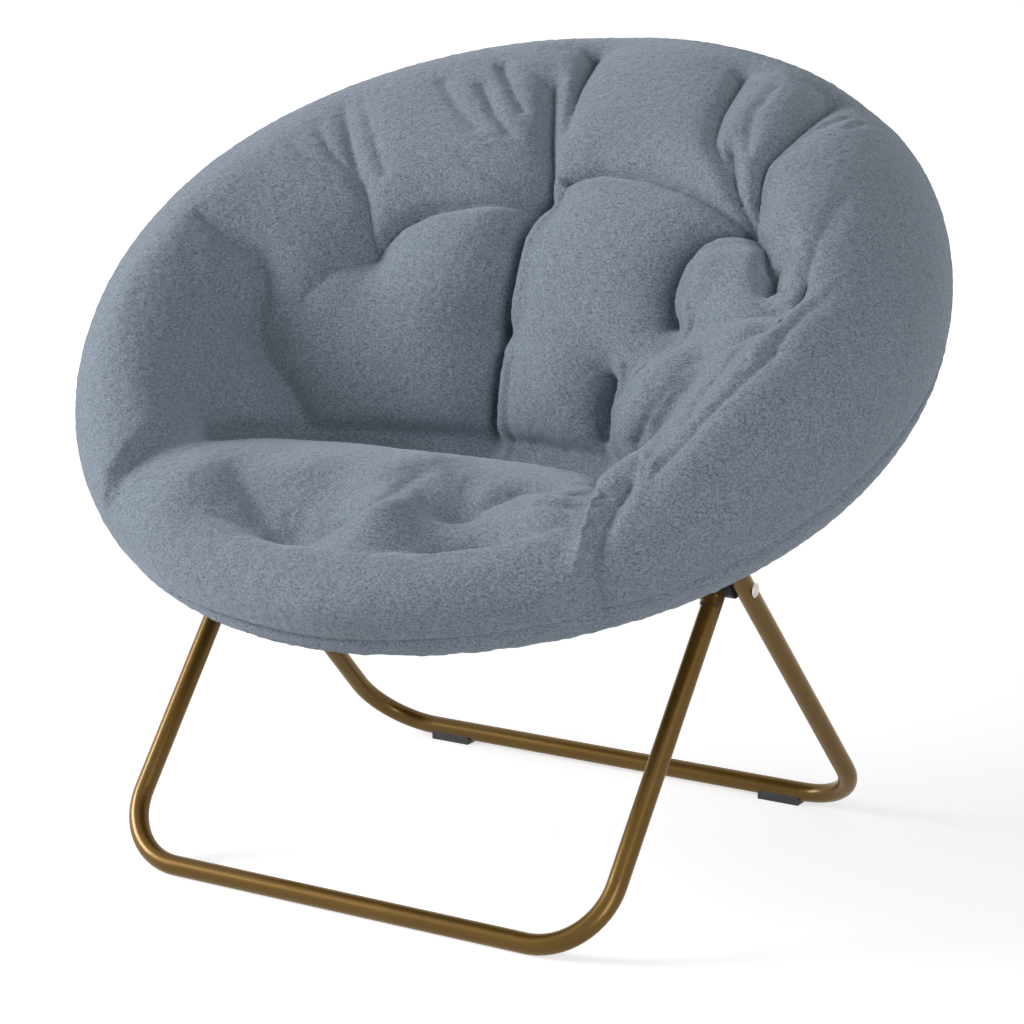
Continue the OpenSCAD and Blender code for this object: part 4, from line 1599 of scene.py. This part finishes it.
@dataclass
class SeamStitches:
    """The stitches that close the cushion round its rim, sunk in the seam."""

    pitch: float = 7 * MM
    length: float = 4.6 * MM
    radius: float = 0.55 * MM
    steps: int = 900
    start_out: float = 1.5
    bead: tuple[int, int] = (8, 5)
    name: str = "seam_stitches"

    def build(self, cushion: Cushion, skin: bpy.types.Object, thread: bpy.types.Material) -> bpy.types.Object:
        """Lays stitches along the seam.

        Args:
            cushion: Gives the seam's height round the rim.
            skin: The finished cushion, which the stitches sit on.
            thread: Their material.

        Returns:
            One mesh of all stitches, not yet riding on a body.
        """
        data = bpy.data.meshes.new(self.name)
        places = self._line(cushion, skin)
        edges = [(k, (k + 1) % len(places)) for k in range(len(places))]
        data.from_pydata([tuple(p) for p in places], edges, [])
        piece = linked(self.name, data)
        tree = self._tree()
        maker = piece.modifiers.new("stitching", "NODES")
        maker.node_group = tree
        values = {"Pitch": self.pitch, "Length": self.length, "Radius": self.radius, "Thread": thread}
        for item in tree.interface.items_tree:
            if item.item_type == "SOCKET" and item.in_out == "INPUT" and item.name in values:
                maker[item.identifier] = values[item.name]
        bake(piece)
        return piece

    def _line(self, cushion: Cushion, skin: bpy.types.Object) -> list[Vector]:
        """Finds the seam's points on the skin, round the rim.

        Args:
            cushion: Gives the seam's height round the rim.
            skin: The finished cushion.

        Returns:
            The points in order.
        """
        tree = BVHTree.FromObject(skin, bpy.context.evaluated_depsgraph_get())
        shape, plane = cushion.shape, cushion.plane
        line = []
        for a in np.linspace(0, 2 * math.pi, self.steps, endpoint=False):
            height = shape.around(a, shape.seam_h)
            out = np.array([math.sin(a), -math.cos(a), 0.0])
            far, mid = (plane.to_part(out * r + (0, 0, height)) for r in (shape.ring_r * self.start_out, 0.0))
            place = tree.ray_cast(Vector(far), Vector(mid - far).normalized())[0]
            if place is not None:
                line.append(place)
        return line

    def _tree(self) -> bpy.types.NodeTree:
        """Builds the node tree that turns a line into stitches.

        Returns:
            The tree, with inputs Pitch, Length, Radius and Thread.
        """
        tree = bpy.data.node_groups.new("stitches_on_line", "GeometryNodeTree")
        for name, kind in (
            ("Geometry", "Geometry"),
            ("Pitch", "Float"),
            ("Length", "Float"),
            ("Radius", "Float"),
            ("Thread", "Material"),
        ):
            tree.interface.new_socket(name, in_out="INPUT", socket_type="NodeSocket" + kind)
        tree.interface.new_socket("Geometry", in_out="OUTPUT", socket_type="NodeSocketGeometry")
        given, result, curve, spots, turn, bead, size, half, place, real, dress = (
            tree.nodes.new(kind) for kind in (
                "NodeGroupInput", "NodeGroupOutput", "GeometryNodeMeshToCurve", "GeometryNodeCurveToPoints",
                "FunctionNodeAlignRotationToVector", "GeometryNodeMeshUVSphere", "ShaderNodeCombineXYZ",
                "ShaderNodeMath", "GeometryNodeInstanceOnPoints", "GeometryNodeRealizeInstances",
                "GeometryNodeSetMaterial",
            )
        )
        spots.mode, turn.axis, half.operation = "LENGTH", "Z", "MULTIPLY"
        bead.inputs["Segments"].default_value, bead.inputs["Rings"].default_value = self.bead
        bead.inputs["Radius"].default_value = 1.0
        half.inputs[1].default_value = 0.5
        for source, out, target, into in (
            (given, "Geometry", curve, "Mesh"),
            (curve, "Curve", spots, "Curve"),
            (given, "Pitch", spots, "Length"),
            (spots, "Tangent", turn, "Vector"),
            (given, "Length", half, 0),
            (given, "Radius", size, "X"),
            (given, "Radius", size, "Y"),
            (half, 0, size, "Z"),
            (spots, "Points", place, "Points"),
            (bead, "Mesh", place, "Instance"),
            (turn, "Rotation", place, "Rotation"),
            (size, 0, place, "Scale"),
            (place, "Instances", real, "Geometry"),
            (real, "Geometry", dress, "Geometry"),
            (given, "Thread", dress, "Material"),
            (dress, "Geometry", result, "Geometry"),
        ):
            tree.links.new(source.outputs[out], target.inputs[into])
        return tree


# ---------------------------------------------------------------- chair


@dataclass
class FrameDressing:
    """The steel frame's CAD nodes, each with its finish."""

    finishes: dict[str, FinishName] = field(default_factory=lambda: {
        "leg_plugs": FinishName.PLASTIC,
        "rear_foot": FinishName.PLASTIC,
        "spacer": FinishName.PLASTIC,
        "liner": FinishName.PLASTIC,
        "bracket_rivets": FinishName.SHEET,
        "rivet": FinishName.RIVET,
        "bracket": FinishName.SHEET,
        "hinge": FinishName.SHEET,
        "lug": FinishName.SHEET,
        "sleeve": FinishName.LINING,
        "leg": FinishName.TUBE,
        "arc": FinishName.TUBE,
    })

    def dress(self, nodes: dict[str, bpy.types.Object], wardrobe: Wardrobe) -> None:
        """Gives every CAD node its finish, by the first key that its name holds.

        Args:
            nodes: The nodes by name.
            wardrobe: The finishes.
        """
        for name, piece in nodes.items():
            for key, finish in self.finishes.items():
                if key in name:
                    wardrobe.wear(piece, finish)
                    log.info("%s wears %s", name, finish.value)
                    break


@dataclass
class Studio:
    """Pale floor, soft lamps and a white surround."""

    floor_side: float = 30.0
    floor_grey: float = 0.62
    floor_glow: tuple[float, float] = (0.64, 1.0)
    glow_reach: tuple[float, float] = (1.0, 3.5)
    aim: Three = (0.0, 0.0, 0.5)
    lamps: tuple[Softbox, ...] = (
        Softbox("key_softbox", (-3.3, -1.9, 1.8), (1.6, 1.6), 168.0),
        Softbox("side_softbox", (2.8, -2.4, 1.4), (1.2, 2.2), 62.0),
        Softbox("top_softbox", (0.3, 0.9, 3.4), (2.0, 2.0), 3.0),
    )
    ambient: float = 0.24

    def build(self) -> None:
        """Adds floor, lamps and world."""
        bpy.context.scene.view_settings.view_transform = "Standard"
        self._floor()
        for lamp in self.lamps:
            self._lamp(lamp)
        self._world()

    def _lamp(self, lamp: Softbox) -> None:
        """Adds one softbox, aimed at the chair.

        Args:
            lamp: Its place, size and power.
        """
        data = bpy.data.lights.new(lamp.name, "AREA")
        data.shape = "RECTANGLE"
        data.size, data.size_y = lamp.size
        data.energy = lamp.watts
        turn = (Vector(self.aim) - Vector(lamp.place)).to_track_quat("-Z", "Y").to_matrix().to_4x4()
        linked(lamp.name, data).matrix_world = Matrix.Translation(lamp.place) @ turn

    @staticmethod
    def _seen(g: Graph) -> Socket:
        """Tells the rays that show the white surround: the camera's, glossy and transmitted ones.

        Args:
            g: The node tree.

        Returns:
            1 for such a ray, else 0.
        """
        path = g.add("LightPath").outputs
        passed_on = g.math("MAXIMUM", path["Is Glossy Ray"], path["Is Transmission Ray"])
        return g.math("MAXIMUM", path["Is Camera Ray"], passed_on)

    def _floor(self) -> None:
        """A wide pale floor that still takes the chair's shadow."""
        half = self.floor_side / 2
        data = bpy.data.meshes.new("studio_floor")
        corners = [(-half, -half, 0), (half, -half, 0), (half, half, 0), (-half, half, 0)]
        data.from_pydata(corners, [], [(0, 1, 2, 3)])
        floor = linked("studio_floor", data)
        material = bpy.data.materials.new("studio_floor_paint")
        material.use_nodes = True
        material.node_tree.nodes.clear()
        g = Graph(material.node_tree)
        diffuse = g.add("BsdfDiffuse", Color=rgba((self.floor_grey,) * 3))
        split = g.add("SeparateXYZ", Vector=g.place()).outputs
        squares = (g.math("MULTIPLY", split[k], split[k]) for k in (0, 1))
        far = g.math("POWER", g.math("ADD", *squares), 0.5)
        glow = g.add("Emission", Color=rgba((1, 1, 1)))
        g.fill(glow, Strength=g.ramp(far, *self.glow_reach, *self.floor_glow))
        off = g.add("Emission", Strength=0.0)
        picked = g.row(g.add("MixShader"), self._seen(g), off.outputs[0], glow.outputs[0])
        both = g.row(g.add("AddShader"), diffuse.outputs[0], picked.outputs[0])
        g.add("OutputMaterial", Surface=both.outputs[0])
        data.materials.append(material)

    def _world(self) -> None:
        """White where it is seen, softer where it lights."""
        world = bpy.data.worlds.new("white_surround")
        world.use_nodes = True
        world.node_tree.nodes.clear()
        g = Graph(world.node_tree)
        light, white = (
            g.add("Background", Color=rgba((1, 1, 1)), Strength=strength).outputs[0]
            for strength in (self.ambient, 1.0)
        )
        g.add("OutputWorld", Surface=g.row(g.add("MixShader"), self._seen(g), light, white).outputs[0])
        bpy.context.scene.world = world


def main() -> None:
    """Dresses the chair and sets up the view."""
    logging.basicConfig(level=logging.INFO, format="%(name)s: %(message)s")
    view = PhotoView()
    view.add_camera()
    Studio().build()
    wardrobe = Wardrobe()
    FrameDressing().dress(frame["nodes"], wardrobe)
    cushion = Cushion()
    piece = cushion.build(view)
    wardrobe.wear(piece, FinishName.FLEECE)
    stitches = SeamStitches().build(cushion, piece, wardrobe.materials[FinishName.THREAD])
    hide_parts("seat_pad", "back_pad", "side_roll_left", "side_roll_right")
    ends = cushion.plane.to_part(np.array([[0.0, -20.0, 0.0], [0.0, -230.0, 0.0]]))
    for soft in (piece, stitches):
        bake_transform(soft)
        log.info("%s has %d faces", soft.name, len(soft.data.polygons))


if __name__ == "__main__":
    main()
